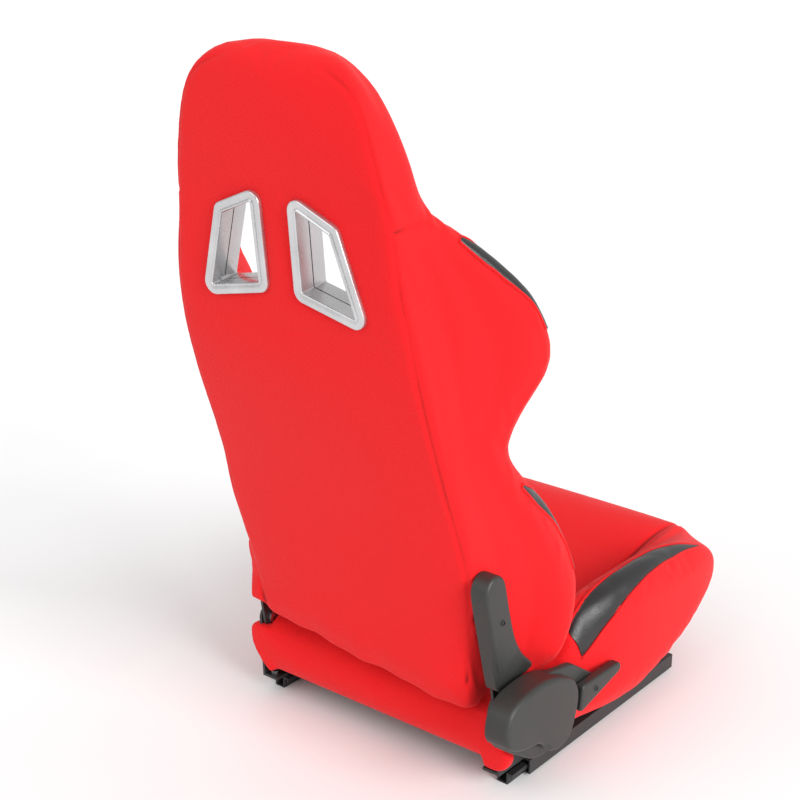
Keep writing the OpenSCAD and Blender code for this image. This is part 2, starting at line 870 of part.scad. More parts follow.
module back_arm(sector) {
    difference() {
        side_plate(hinge_x, hinge_x + plate_t) difference() {
            union() {
                hull() {
                    translate([pivot_y, pivot_z]) circle(16);
                    translate(arm_bolt_spots[0]) circle(12);
                }
                hull() {
                    translate(arm_bolt_spots[0]) circle(12);
                    translate(arm_bolt_spots[1]) circle(11);
                }
                if (sector) translate([pivot_y, pivot_z]) circle(sector_r - 2);
                if (sector)
                    for (k = [0:sector_teeth - 1])
                        let(a = 360 * k / sector_teeth)
                        if (a > 180 && a < 300)
                            translate([pivot_y, pivot_z]) rotate(a) translate([sector_r - 2.5, -1]) square([2.5, 2]);
            }
            for (p = arm_bolt_spots) translate(p) circle(bolt_r);
        }
        side_pin(hinge_x - 1, hinge_x + plate_t + 1, pivot_y, pivot_z, pivot_r + pivot_gap);
    }
}

module back_arm_right() {
    color(steel) mirror([1, 0, 0]) back_arm(true);
}

module back_arm_left() {
    color(steel) back_arm(false);
}

arm_bolt_in = hinge_x - tube_x - tube_r;

module arm_bolt_shafts(r) {
    both() for (p = arm_bolt_spots) side_pin(hinge_x - arm_bolt_in, hinge_x + plate_t, p.x, p.y, r);
}

module arm_bolts() {
    color(zinc) {
        arm_bolt_shafts(bolt_r);
        both() for (p = arm_bolt_spots) side_pin(hinge_x + plate_t, hinge_x + plate_t + 1.8, p.x, p.y, 5.5);
    }
}

// ---------- harness holes ----------

hole_corner = 16;
hole_trim = 1.5;
band_t = 1.5;
band_half = 7;
hole_shape = [[20, 115.6], [96.7, 82.1], [136.8, -46.8], [18.7, -20.6]];

// outline of the left hole's bezel, moved in by a distance
module hole_outline(inset, segments) {
    offset(r = hole_corner - inset * 0.5, $fn = segments) offset(delta = -hole_corner - hole_trim - inset * 0.5)
        polygon([for (p = hole_shape) [p.x * sx, p.y]]);
}

// body between two depths under the rear face, square to it
module hole_layer(d0, d1, inset, segments = 28) {
    translate([0, hole_y, up(hole_z)]) rotate([90 - hole_lean, 0, 0])
        translate([0, 0, d0]) linear_extrude(d1 - d0) hole_outline(inset, segments);
}

module hole_space() {
    both() {
        hole_layer(-20, 4.2, -0.6, 16);
        hole_layer(-20, 160, bezel_w - sleeve_t - 0.6, 16);
        hole_layer(
            hole_depth / 2 - band_half - 0.3, hole_depth / 2 + band_half + 0.3,
            bezel_w - sleeve_t - band_t - 0.6, 16
        );
        hole_layer(hole_depth - 0.2, 160, -0.6, 16);
    }
}

// flange on the rear face and a sleeve down to the join
module bezel(d0, flip) {
    join = hole_depth / 2;
    flange0 = flip ? hole_depth : 4 - bezel_t;
    difference() {
        union() {
            hole_layer(flange0, flange0 + bezel_t, 0);
            if (flip) hole_layer(join + 0.2, flange0 + eps, bezel_w - sleeve_t);
            else hole_layer(flange0 + bezel_t - eps, join, bezel_w - sleeve_t);
        }
        hole_layer(-30, 170, bezel_w);
    }
}

module bezel_rear_right() {
    color(silver) mirror([1, 0, 0]) bezel(0, false);
}

module bezel_rear_left() {
    color(silver) bezel(0, false);
}

module bezel_front_right() {
    color(silver) mirror([1, 0, 0]) bezel(0, true);
}

module bezel_front_left() {
    color(silver) bezel(0, true);
}

// bands that hold the two halves of each sleeve together
module bezel_bands() {
    join = hole_depth / 2;
    color(zinc) both() difference() {
        hole_layer(join - band_half, join + band_half, bezel_w - sleeve_t - band_t);
        hole_layer(-30, 170, bezel_w - sleeve_t);
    }
}

// ---------- backrest upholstery ----------

wing_x = 150 * sx;
wing_top = 768;

module wing_space(gap) {
    both() translate([wing_x - gap, 0, 0]) cube([300, 500, up(wing_top) + gap]);
}

module arm_hollows() {
    arm_bolt_shafts(bolt_r + tube_gap);
    mirror([1, 0, 0]) side_pin(hinge_x - arm_bolt_in, hinge_x + 1, arm_screw.x, arm_screw.y, post_r + tube_gap);
}

module back_hollows() {
    $fn = 14;
    frame_tubes(tube_r + tube_gap + 0.5);
    back_wires(wire_r + tube_gap);
    arm_hollows();
    hole_space();
}

module back_foam() {
    color(foam) solid() {
        back_body(cover_t, foam_gap);
        translate([-200, 0, up(962)]) cube([400, 500, 100]);
        wing_space(0);
        back_hollows();
    }
}

// side is 1 for the left wing and -1 for the right one
module wing_foam(side) {
    solid() {
        back_body(cover_t, foam_gap);
        translate([side * (wing_x + 0.2 - 400) - 400, 0, 0]) cube([800, 600, 1500]);
        translate([-600, 0, up(wing_top) - 0.2]) cube([1200, 600, 600]);
        back_hollows();
    }
}

module wing_foam_right() {
    color(foam) wing_foam(-1);
}

module wing_foam_left() {
    color(foam) wing_foam(1);
}

module back_cover() {
    color(cloth) solid() {
        back_body(0);
        back_body(cover_t);
        arm_hollows($fn = 16);
        hole_space();
    }
}

module back_patch(rows, cols, turned) {
    patch(
        ring_part(back_rings(-accent_gap), rows, cols),
        ring_part(back_rings(-accent_gap - accent_t), rows, cols),
        turned
    );
}

module shoulder_accent(turned) {
    back_patch([23:30], [7:11], turned);
}

module lumbar_accent(turned) {
    back_patch([6:13], [8:11], turned);
}

module shoulder_accent_right() {
    color(vinyl) mirror([1, 0, 0]) shoulder_accent(true);
}

module shoulder_accent_left() {
    color(vinyl) shoulder_accent(false);
}

module lumbar_accent_right() {
    color(vinyl) mirror([1, 0, 0]) lumbar_accent(true);
}

module lumbar_accent_left() {
    color(vinyl) lumbar_accent(false);
}

// ---------- arm cover ----------

arm_in_x = 206.5;
arm_screw = [237, 269];

module arm_outline() {
    hull() {
        translate([250, 317]) circle(22);
        translate([236, 176]) circle(6);
        translate([173, 187]) circle(6);
    }
}

module arm_cover() {
    color(plastic) mirror([1, 0, 0]) difference() {
        union() {
            side_plate(arm_in_x, arm_face_x - 4) arm_outline();
            side_plate(arm_face_x - 4 - eps, arm_face_x - 1.4) offset(delta = -1.2) arm_outline();
            side_plate(arm_face_x - 1.5, arm_face_x) offset(delta = -3.2) arm_outline();
        }
        side_plate(arm_in_x - 1, arm_face_x - 4) offset(delta = -shell_t - 0.5) arm_outline();
        side_pin(arm_in_x, arm_face_x + 1, arm_screw.x, arm_screw.y, screw_r + 0.3);
    }
}

module arm_cover_posts() {
    color(steel) mirror([1, 0, 0]) difference() {
        side_pin(hinge_x - arm_bolt_in, arm_face_x - 4.2, arm_screw.x, arm_screw.y, post_r);
        side_pin(arm_in_x, arm_face_x, arm_screw.x, arm_screw.y, screw_r);
    }
}

module arm_cover_screw() {
    color(steel) mirror([1, 0, 0])
        side_pin(arm_in_x + 0.5, arm_face_x + 0.6, arm_screw.x, arm_screw.y, screw_r);
}

lower_rail_right();
lower_rail_left();
roller_cage_right();
roller_cage_left();
rail_rollers();
upper_rail_right();
upper_rail_left();
pan_frame();
pan_springs();
pan_bolts();
cushion_foam();
cushion_cover();
cushion_accent_right();
cushion_accent_left();
recliner_plate_right();
recliner_plate_left();
recliner_cover();
recliner_spring();
pivot_bolt_right();
pivot_bolt_left();
plate_bolts();
recliner_posts();
latch_pins();
adjuster_bar();
adjuster_grip();
latch_right();
latch_left();
lever_arm();
lever_handle();
lever_screw();
recliner_pawl();
pawl_pin();
back_frame();
back_springs();
back_arm_right();
back_arm_left();
arm_bolts();
back_foam();
wing_foam_right();
wing_foam_left();
back_cover();
shoulder_accent_right();
shoulder_accent_left();
lumbar_accent_right();
lumbar_accent_left();
bezel_rear_right();
bezel_rear_left();
bezel_front_right();
bezel_front_left();
bezel_bands();
arm_cover();
arm_cover_screw();
arm_cover_posts();
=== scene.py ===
"""Looks of a reclining bucket seat, built around its packed mechanical model."""

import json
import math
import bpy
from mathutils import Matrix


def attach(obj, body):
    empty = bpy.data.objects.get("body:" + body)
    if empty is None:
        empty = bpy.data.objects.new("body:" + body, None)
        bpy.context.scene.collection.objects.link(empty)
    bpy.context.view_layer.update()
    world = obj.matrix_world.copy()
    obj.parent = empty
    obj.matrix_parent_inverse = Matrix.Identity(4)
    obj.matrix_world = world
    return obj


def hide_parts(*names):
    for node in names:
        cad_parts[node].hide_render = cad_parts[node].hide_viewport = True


bl_info = {
    "name": "Reclining Bucket Seat",
    "version": (1, 0, 0),
    "blender": (4, 5, 0),
    "location": "3D View > Sidebar > Seat",
    "description": "Upholstery, bezels, covers and finishes of a reclining bucket seat",
    "category": "Object",
}

import bmesh
import bpy
import numpy as np
from mathutils import Matrix, Vector
from mathutils.bvhtree import BVHTree

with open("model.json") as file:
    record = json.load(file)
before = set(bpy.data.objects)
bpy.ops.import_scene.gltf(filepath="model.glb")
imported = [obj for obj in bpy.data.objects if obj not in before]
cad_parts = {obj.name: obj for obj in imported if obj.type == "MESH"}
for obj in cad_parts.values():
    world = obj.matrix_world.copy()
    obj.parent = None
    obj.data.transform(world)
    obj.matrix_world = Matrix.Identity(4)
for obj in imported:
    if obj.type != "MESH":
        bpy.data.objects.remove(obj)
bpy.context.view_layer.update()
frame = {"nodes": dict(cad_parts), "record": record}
NODE = frame["nodes"]
MM = 0.001

# ---------------------------------------------------------------- measures of the seat, in millimetres

# seam between the rear panel and a side panel: distance from the middle, Y, Z
REAR_SEAM = [
    (77, 388, 959), (112, 390, 942), (130, 391, 924), (142, 390, 899), (152, 387, 860), (160, 383, 825),
    (168, 378, 790), (172, 375, 757), (177, 372, 707), (184, 367, 669), (187, 358, 620), (189, 346, 575),
    (190, 329, 519), (191, 305, 450), (195, 284, 385), (197, 271, 335), (195, 260, 290), (190, 250, 240),
    (184, 243, 200), (177, 236, 165),
]
NECK_SEAM = [
    (170, 376, 784), (174, 357, 787), (176, 337, 789), (177, 316, 790), (176, 296, 790), (166, 282, 790),
]
# seam between the middle of the backrest and a wing, on its front
INSERT_SEAM = [
    (142, 168, 185), (144, 172, 225), (146, 180, 280), (146, 194, 340), (145, 215, 400), (144, 241, 460),
    (143, 259, 500), (143, 280, 545), (143, 301, 590), (143, 317, 630), (143, 329, 665), (142, 334, 700),
    (141, 337, 735), (138, 339, 765), (126, 337, 788), (116, 328, 815), (108, 314, 850), (98, 322, 890),
]
# seam between the middle of the cushion and a bolster, and the one behind its front edge
CUSHION_SEAM = [
    (168, -326, 172), (167, -300, 196), (163, -270, 197), (160, -230, 190), (158, -180, 177),
    (157, -120, 167), (157, -60, 158), (158, 0, 149), (158, 48, 143), (160, 96, 138), (160, 150, 131),
]
FRONT_SEAM = [(x, -316 - 12 * (1 - (x / 170) ** 2), 187) for x in range(-166, 167, 8)]
# rear ends of the cushion's roll: X and Z
LEFT_END = [(184, 110), (222, 110), (228, 98), (225, 78), (214, 58), (198, 42), (184, 38)]
RIGHT_END = [(-184, 38), (-200, 34), (-218, 37), (-228, 48), (-228, 66), (-214, 72), (-213, 92), (-184, 94)]
# black strips on a cushion bolster, a shoulder and a lumbar wing: their lower and their upper edge
CUSHION_STRIP = (
    [(237, 60, 146), (240, 46, 156), (248, 10, 185), (254, -44, 213), (252, -114, 222), (246, -207, 213),
     (240, -250, 201)],
    [(220, 72, 189), (219, 58, 203), (218, 5, 229), (216, -68, 236), (220, -150, 232), (228, -210, 220),
     (239, -252, 203)],
)
SHOULDER_STRIP = (
    [(203, 296, 766), (226, 283, 744), (245, 262, 721), (255, 243, 702), (263, 226, 682), (268, 210, 655)],
    [(196, 286, 768), (202, 262, 748), (216, 238, 722), (230, 218, 700), (243, 200, 676), (258, 188, 650)],
)
LUMBAR_STRIP = (
    [(232, 200, 440), (239, 178, 416), (243, 152, 392), (246, 128, 366), (250, 112, 335), (250, 104, 300)],
    [(222, 198, 441), (214, 168, 416), (212, 138, 388), (214, 114, 358), (222, 98, 322), (238, 90, 296)],
)
# harness hole: its corners, the Y and Z of their origin, the backrest's lean there, and its depth
HOLE = [(20, 115.6), (96.7, 82.1), (136.8, -46.8), (18.7, -20.6)]
HOLE_PLACE = (376.5, 700.0)
HOLE_LEAN = math.radians(5.7)
HOLE_DEPTH = 41.0
# rolled lip of a bezel from its rim inwards: width and rise of each step
BEZEL_LIP = (
    (0.5, 0.6), (0.9, 0.5), (1.2, 0.2), (5.4, -0.3), (0.9, -0.7), (0.7, -0.1),
    (0.8, 0.9), (0.7, 0.5), (0.8, 0.2), (0.7, -0.25), (0.5, -0.7), (0.3, -1.2),
)
# moulded covers, all in Y and Z: outlines, and circles with a radius that an outline wraps
COVER_OUTLINE = [
    (276, 150), (263, 172), (219, 181), (175, 178), (125, 157), (113, 137), (111, 118), (121, 84),
    (134, 66), (170, 62), (192, 90), (215, 96), (244, 100), (276, 120),
]
WING_CIRCLES = [(160, 128, 44), (118, 132, 32), (64, 112, 17), (53, 104, 13)]
ARM_OUTLINE = [
    (272, 317), (270, 326), (263, 335), (253, 339), (243, 337), (234, 331), (229, 321), (226, 308),
    (218, 276), (209, 244), (199, 222), (184, 202), (163, 183), (158, 176), (163, 170), (200, 165),
    (226, 164), (234, 168), (238, 178), (256, 250), (268, 296),
]
SKIRT_OUTLINE = [
    (262, 140), (256, 168), (219, 177), (175, 174), (130, 154), (120, 118), (124, 78), (136, 56), (168, 50),
    (192, 58), (214, 74), (236, 88), (256, 104),
]
HANDLE_CIRCLES = [(14, 121, 8), (95, 125, 6), (99, 99, 6), (60, 112, 9)]
ARM_SCREW = (236, 269)
LEVER_SCREW = (68, 114)
SCREW_RADIUS = 3.9

# ---------------------------------------------------------------- measures in metres

SEAM_WIDTH = 0.0042
# width of the painted shade that darkens the cloth along the seams
SEAM_SHADE = 0.0032
STRIP_THICKNESS = 0.0016
STITCH_PITCH = 0.0045
RIB_PITCH = 0.0034
CROSS_RIB_PITCH = 0.0042
BASE_HEIGHT = 0.172

# ---------------------------------------------------------------- other values

# CAD nodes that the two cloth pieces stand for
BACK_SOFT = ["back_cover", "back_foam", "wing_foam_right", "wing_foam_left"]
CUSHION_SOFT = ["cushion_cover", "cushion_foam"]
# a face whose normal leans farther sideways than this is a side panel
SIDE_PANEL = 0.62
# lights: direction they shine in, strength and spread in degrees
SIDE_LIGHT = ((0.90, -0.12, -0.42), 3.1, 35)
REAR_LIGHT = ((-0.20, -0.80, -0.55), 0.55, 45)
ROOM_LIGHT = 0.72
CAMERA_LENS = 76.5
CAMERA_AZIMUTH = math.radians(218.916)
CAMERA_ELEVATION = math.radians(20.634)
CAMERA_DISTANCE = 2.22575
CAMERA_TARGET = (0, 0.15314, 0.48573)


# ---------------------------------------------------------------- settings

class SeatUpholstery(bpy.types.PropertyGroup):
    cloth_colour: bpy.props.FloatVectorProperty(
        name="Cloth colour", description="Colour of the woven cover", subtype="COLOR",
        default=(0.80, 0.006, 0.009))
    vinyl_colour: bpy.props.FloatVectorProperty(
        name="Vinyl colour", description="Colour of the strips on the bolsters", subtype="COLOR",
        default=(0.014, 0.013, 0.014))
    voxel: bpy.props.FloatProperty(
        name="Mesh size", description="Edge length of the padded pieces before they are subdivided",
        default=0.006, unit="LENGTH")
    pressure: bpy.props.FloatProperty(
        name="Pressure", description="Pressure that swells the padding under its cover", default=4.0)
    swell_limit: bpy.props.FloatProperty(
        name="Swell limit", description="Farthest that the cover moves when it swells",
        default=0.006, unit="LENGTH")
    piping_radius: bpy.props.FloatProperty(
        name="Piping radius", description="Radius of the piping along the strips",
        default=0.0019, unit="LENGTH")


class SeatHardware(bpy.types.PropertyGroup):
    plastic_colour: bpy.props.FloatVectorProperty(
        name="Plastic colour", description="Colour of the moulded covers", subtype="COLOR",
        default=(0.021, 0.022, 0.020))
    bezel_colour: bpy.props.FloatVectorProperty(
        name="Bezel colour", description="Colour of the harness hole bezels", subtype="COLOR",
        default=(0.60, 0.60, 0.61))
    cover_round: bpy.props.FloatProperty(
        name="Cover edge", description="Radius of the moulded covers' edges", default=0.007, unit="LENGTH")
    wall: bpy.props.FloatProperty(
        name="Cover wall", description="Wall of the moulded covers", default=0.0025, unit="LENGTH")


# ---------------------------------------------------------------- small helpers

def pick_only(obj):
    bpy.ops.object.select_all(action="DESELECT")
    obj.select_set(True)
    bpy.context.view_layer.objects.active = obj


def apply_all(obj):
    pick_only(obj)
    for m in list(obj.modifiers):
        bpy.ops.object.modifier_apply(modifier=m.name)


def mirrored(points, side):
    return [Vector((side * p[0] * MM, p[1] * MM, p[2] * MM)) for p in points]


def resample(points, count, parts):
    """Points at even steps along a line of points, a step being its length over the parts."""
    run = [0.0]
    for a, b in zip(points, points[1:]):
        run.append(run[-1] + (b - a).length)
    out, j = [], 0
    for k in range(count):
        want = run[-1] * k / parts
        while j < len(run) - 2 and run[j + 1] < want:
            j += 1
        out.append(points[j].lerp(points[j + 1], (want - run[j]) / max(run[j + 1] - run[j], 1e-9)))
    return out


def curve_points(points, count):
    """Evenly spaced points on a smooth curve through the given points."""
    pts = [Vector(p) for p in points]
    fine = []
    for i in range(len(pts) - 1):
        a, b, c, d = pts[max(i - 1, 0)], pts[i], pts[i + 1], pts[min(i + 2, len(pts) - 1)]
        for k in range(16):
            t = k / 16
            fine.append(0.5 * (2 * b + (c - a) * t + (2 * a - 5 * b + 4 * c - d) * t * t
                               + (3 * b - a - 3 * c + d) * t * t * t))
    fine.append(pts[-1])
    return resample(fine, count, count - 1)


def coordinates(obj):
    co = np.empty(len(obj.data.vertices) * 3)
    obj.data.vertices.foreach_get("co", co)
    return co.reshape(-1, 3)


def normals(obj):
    n = np.empty(len(obj.data.vertices) * 3)
    obj.data.vertices.foreach_get("normal", n)
    return n.reshape(-1, 3)


def set_coordinates(obj, co):
    obj.data.vertices.foreach_set("co", co.ravel())
    obj.data.update()


def line_distance(co, lines):
    """Distance of each point from the nearest of some lines of points."""
    best = np.full(len(co), 1e3)
    for line in lines:
        for a, b in zip(line[:-1], line[1:]):
            a, b = np.array(a), np.array(b)
            d = b - a
            t = np.clip((co - a) @ d / max(d @ d, 1e-12), 0, 1)
            best = np.minimum(best, np.linalg.norm(co - a - t[:, None] * d, axis=1))
    return best


def surface_of(obj):
    mesh = obj.data
    return BVHTree.FromPolygons([v.co for v in mesh.vertices], [tuple(p.vertices) for p in mesh.polygons])


def fillet(points, radius, steps):
    """Outline with each corner rounded to a radius."""
    out = []
    n = len(points)
    for i in range(n):
        p, q, r = Vector(points[i - 1]), Vector(points[i]), Vector(points[(i + 1) % n])
        u, v = (p - q).normalized(), (r - q).normalized()
        half = math.acos(max(-1, min(1, u.dot(v)))) / 2
        reach = radius / math.tan(half)
        centre = q + (u + v).normalized() * (radius / math.sin(half))
        a, b = q + u * reach - centre, q + v * reach - centre
        turn = math.atan2(a.x * b.y - a.y * b.x, a.dot(b))
        for k in range(steps + 1):
            t = turn * k / steps
            c, s = math.cos(t), math.sin(t)
            out.append(centre + Vector((a.x * c - a.y * s, a.x * s + a.y * c)))
    return out


def cut_corners(points, rounds):
    """Closed outline with its corners cut, which turns round over a few rounds."""
    pts = [Vector(p) for p in points]
    for _ in range(rounds):
        pts = [q for i in range(len(pts)) for q in (
            pts[i].lerp(pts[(i + 1) % len(pts)], 0.25), pts[i].lerp(pts[(i + 1) % len(pts)], 0.75))]
    return pts


def hull_outline(circles, steps=40):
    """Outline of a band stretched round some circles, counter-clockwise."""
    pts = sorted((x + r * math.cos(2 * math.pi * k / steps), y + r * math.sin(2 * math.pi * k / steps))
                 for x, y, r in circles for k in range(steps))

    def half(seq):
        chain = []
        for p in seq:
            while len(chain) > 1 and ((chain[-1][0] - chain[-2][0]) * (p[1] - chain[-2][1])
                                      - (chain[-1][1] - chain[-2][1]) * (p[0] - chain[-2][0])) <= 1e-9:
                chain.pop()
            chain.append(p)
        return chain[:-1]

    return [Vector(p) for p in half(pts) + half(reversed(pts))]


def even_outline(points, count):
    """Closed outline with its points evenly spaced."""
    ring = [Vector((p.x, p.y, 0)) for p in points]
    ring.append(ring[0])
    return [p.to_2d() for p in resample(ring, count, count)]


def start_plate(name, outline):
    """Flat face on an outline in millimetres, facing +Z, with edit mode on and the face selected."""
    bpy.ops.object.select_all(action="DESELECT")
    bpy.ops.mesh.primitive_circle_add(vertices=len(outline), radius=0.1, fill_type="NGON")
    obj = bpy.context.object
    obj.name = obj.data.name = name
    area = sum(a.x * b.y - a.y * b.x for a, b in zip(outline, outline[1:] + outline[:1]))
    order = outline if area > 0 else outline[::-1]
    for v, p in zip(obj.data.vertices, order):
        v.co = (p.x * MM, p.y * MM, 0)
    obj.data.update()
    if obj.data.polygons[0].normal.z < 0:
        obj.data.flip_normals()
    bpy.ops.object.mode_set(mode="EDIT")
    bpy.ops.mesh.select_mode(type="FACE")
    bpy.ops.mesh.select_all(action="SELECT")
    return obj


def raise_face(height):
    bpy.ops.mesh.extrude_region_move(TRANSFORM_OT_translate={"value": (0, 0, height * MM)})


def inset(width, rise=0.0):
    bpy.ops.mesh.inset(thickness=width * MM, depth=rise * MM)


def round_over(radius, steps=5):
    """Rounds the rim of the selected face with a quarter circle of insets."""
    for k in range(steps):
        a, b = math.pi / 2 * k / steps, math.pi / 2 * (k + 1) / steps
        inset(radius * (math.cos(a) - math.cos(b)), radius * (math.sin(b) - math.sin(a)))


def place(obj, matrix, open_below=True):
    """Leaves edit mode and puts the place into the mesh, with its faces outwards."""
    if bpy.context.mode != "OBJECT":
        bpy.ops.object.mode_set(mode="OBJECT")
    if open_below:
        drop_faces(obj, lambda f: all(abs(v.co.z) < 1e-6 for v in f.verts))
    obj.data.transform(matrix)
    if matrix.determinant() < 0:
        obj.data.flip_normals()
    obj.data.update()


def side_matrix(x):
    """Puts a plate at a distance to the sitter's right, with its outline in Y and Z, facing outwards."""
    return Matrix(((0, 0, -1, -x * MM), (1, 0, 0, 0), (0, 1, 0, 0), (0, 0, 0, 1)))


def moulding(name, outline, points, start, height, edge, steps, open_below=True):
    """Raised plate with a rounded rim, which stands out to the sitter's right."""
    obj = start_plate(name, even_outline(outline, points))
    raise_face(height - edge)
    round_over(edge, steps)
    place(obj, side_matrix(start), open_below)
    return obj


def block(location, size):
    """Plain box with its place in its mesh, for joining or cutting."""
    bpy.ops.object.select_all(action="DESELECT")
    bpy.ops.mesh.primitive_cube_add(size=1, location=location, scale=size)
    bpy.ops.object.transform_apply(location=True, rotation=True, scale=True)
    return bpy.context.object


def thicken(obj, wall):
    """Gives an open shell its wall, on the inside."""
    m = obj.modifiers.new("Solidify", "SOLIDIFY")
    m.thickness = wall
    m.offset = -1
    apply_all(obj)


def new_object(name, data):
    obj = bpy.data.objects.new(name, data)
    bpy.context.scene.collection.objects.link(obj)
    return obj


def drop_faces(obj, test):
    bm = bmesh.new()
    bm.from_mesh(obj.data)
    bmesh.ops.delete(bm, geom=[f for f in bm.faces if test(f)], context="FACES")
    bm.to_mesh(obj.data)
    bm.free()


def smooth(obj, degrees=40):
    pick_only(obj)
    bpy.ops.object.shade_smooth_by_angle(angle=math.radians(degrees))


def finish_piece(obj, body, material, nodes=()):
    obj.data.materials.clear()
    obj.data.materials.append(material)
    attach(obj, body)
    if nodes:
        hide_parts(*nodes)


# ---------------------------------------------------------------- finishes

class Finish:
    """Node material with a few short ways to add nodes."""

    def __init__(self, name):
        self.material = bpy.data.materials.new(name)
        self.material.use_nodes = True
        self.tree = self.material.node_tree
        self.shader = self.tree.nodes["Principled BSDF"]
        self.place = self.node("ShaderNodeTexCoord").outputs["Object"]

    def node(self, kind, **values):
        n = self.tree.nodes.new(kind)
        for key, value in values.items():
            setattr(n, key, value)
        return n

    def link(self, a, b):
        self.tree.links.new(a, b)

    def put(self, **values):
        for key, value in values.items():
            self.shader.inputs[key.replace("_", " ")].default_value = value

    def noise(self, scale, detail=3.0, rough=0.5, stretch=None):
        n = self.node("ShaderNodeTexNoise")
        n.inputs["Scale"].default_value = scale
        n.inputs["Detail"].default_value = detail
        n.inputs["Roughness"].default_value = rough
        source = self.place
        if stretch:
            m = self.node("ShaderNodeMapping")
            m.inputs["Scale"].default_value = stretch
            self.link(source, m.inputs["Vector"])
            source = m.outputs["Vector"]
        self.link(source, n.inputs["Vector"])
        return n.outputs["Fac"]

    def cells(self, scale):
        n = self.node("ShaderNodeTexVoronoi", feature="DISTANCE_TO_EDGE")
        n.inputs["Scale"].default_value = scale
        self.link(self.place, n.inputs["Vector"])
        return n.outputs["Distance"]

    def math(self, op, a, b=0.0):
        n = self.node("ShaderNodeMath", operation=op)
        for socket, value in zip(n.inputs, (a, b)):
            if isinstance(value, (int, float)):
                socket.default_value = value
            else:
                self.link(value, socket)
        return n.outputs[0]

    def ramp(self, value, low, high, out_low=0.0, out_high=1.0):
        n = self.node("ShaderNodeMapRange")
        for key, v in (("From Min", low), ("From Max", high), ("To Min", out_low), ("To Max", out_high)):
            n.inputs[key].default_value = v
        self.link(value, n.inputs["Value"])
        return n.outputs["Result"]

    def blend(self, factor, a, b):
        n = self.node("ShaderNodeMix", data_type="RGBA")
        self.link(factor, n.inputs["Factor"])
        for key, v in (("A", a), ("B", b)):
            socket = next(s for s in n.inputs if s.name == key and s.type == "RGBA")
            if isinstance(v, (tuple, list)):
                socket.default_value = (*v[:3], 1)
            else:
                self.link(v, socket)
        return next(s for s in n.outputs if s.type == "RGBA")

    def colour(self, socket):
        self.link(socket, self.shader.inputs["Base Color"])

    def roughness(self, socket):
        self.link(socket, self.shader.inputs["Roughness"])

    def bump(self, heights):
        """Stacks bumps: (height socket, distance in metres, strength)."""
        last = None
        for height, distance, strength in heights:
            n = self.node("ShaderNodeBump")
            n.inputs["Distance"].default_value = distance
            n.inputs["Strength"].default_value = strength
            self.link(height, n.inputs["Height"])
            if last:
                self.link(last, n.inputs["Normal"])
            last = n.outputs["Normal"]
        self.link(last, self.shader.inputs["Normal"])


def shade(colour, k):
    return tuple(min(1.0, c * k) for c in colour)


def ribs(f, parts, weights, pitch):
    """Waves, 0 to 1, across a direction of the panel map with a pitch in metres."""
    terms = [f.math("MULTIPLY", parts.outputs[k], w * 2 * math.pi / pitch) for k, w in zip("XY", weights)]
    wave = f.math("SINE", f.math("ADD", *terms))
    return f.math("ADD", f.math("MULTIPLY", wave, 0.5), 0.5)


def woven_cloth(name, colour):
    f = Finish(name)
    parts = f.node("ShaderNodeSeparateXYZ")
    f.link(f.node("ShaderNodeUVMap", uv_map="panel").outputs["UV"], parts.inputs[0])
    along = f.math("POWER", ribs(f, parts, (0.82, 0.57), RIB_PITCH), 1.3)
    across = ribs(f, parts, (-0.57, 0.82), CROSS_RIB_PITCH)
    weave = f.math("MULTIPLY", along, f.math("ADD", f.math("MULTIPLY", across, 0.5), 0.5))
    fluff = f.noise(900, 2, 0.6)
    broad = f.noise(5.5, 3, 0.55)
    base = f.blend(f.ramp(weave, 0.0, 0.9), shade(colour, 0.88), shade(colour, 1.05))
    base = f.blend(f.ramp(broad, 0.35, 0.7, 0.0, 0.30), base, shade(colour, 0.90))
    # painted shade: the cloth is darkened along the seams, where shade falls in the pressed groove
    seam = f.node("ShaderNodeAttribute", attribute_name="seam").outputs["Fac"]
    base = f.blend(f.ramp(seam, 0.15, 0.95, 0.0, 0.85), base, shade(colour, 0.28))
    f.colour(base)
    f.roughness(f.ramp(fluff, 0.3, 0.7, 0.70, 0.88))
    f.put(Sheen_Weight=0.12, Sheen_Roughness=0.5, Sheen_Tint=(1.0, 0.6, 0.6, 1), Specular_IOR_Level=0.22)
    wrinkle = f.noise(16, 3, 0.55)
    f.bump([(wrinkle, 0.006, 0.08), (weave, 0.0005, 0.32), (fluff, 0.0003, 0.18)])
    return f.material


def grained_vinyl(name, colour):
    f = Finish(name)
    grain = f.math("MINIMUM", f.math("MULTIPLY", f.cells(620), 2.4), 1.0)
    broad = f.noise(9, 3, 0.5)
    uv = f.node("ShaderNodeUVMap", uv_map="strip").outputs["UV"]
    parts = f.node("ShaderNodeSeparateXYZ")
    f.link(uv, parts.inputs[0])
    from_edge = f.math("MINIMUM", parts.outputs["Y"], f.math("SUBTRACT", 1.0, parts.outputs["Y"]))
    from_row = f.math("ABSOLUTE", f.math("SUBTRACT", from_edge, 0.10))
    row = f.math("LESS_THAN", from_row, 0.014)
    step = f.math("FRACT", f.math("MULTIPLY", parts.outputs["X"], 1 / STITCH_PITCH))
    stitch = f.math("MULTIPLY", row, f.math("GREATER_THAN", step, 0.34))
    base = f.blend(f.ramp(broad, 0.3, 0.7), shade(colour, 0.8), shade(colour, 1.2))
    base = f.blend(stitch, base, (0.05, 0.048, 0.05))
    f.colour(base)
    f.roughness(f.ramp(broad, 0.3, 0.75, 0.27, 0.38))
    f.put(Specular_IOR_Level=0.5)
    groove = f.math("SUBTRACT", 1.0, f.math("LESS_THAN", from_row, 0.03))
    f.bump([(groove, 0.0006, 0.5), (grain, 0.00025, 0.5), (stitch, 0.0005, 0.7)])
    return f.material


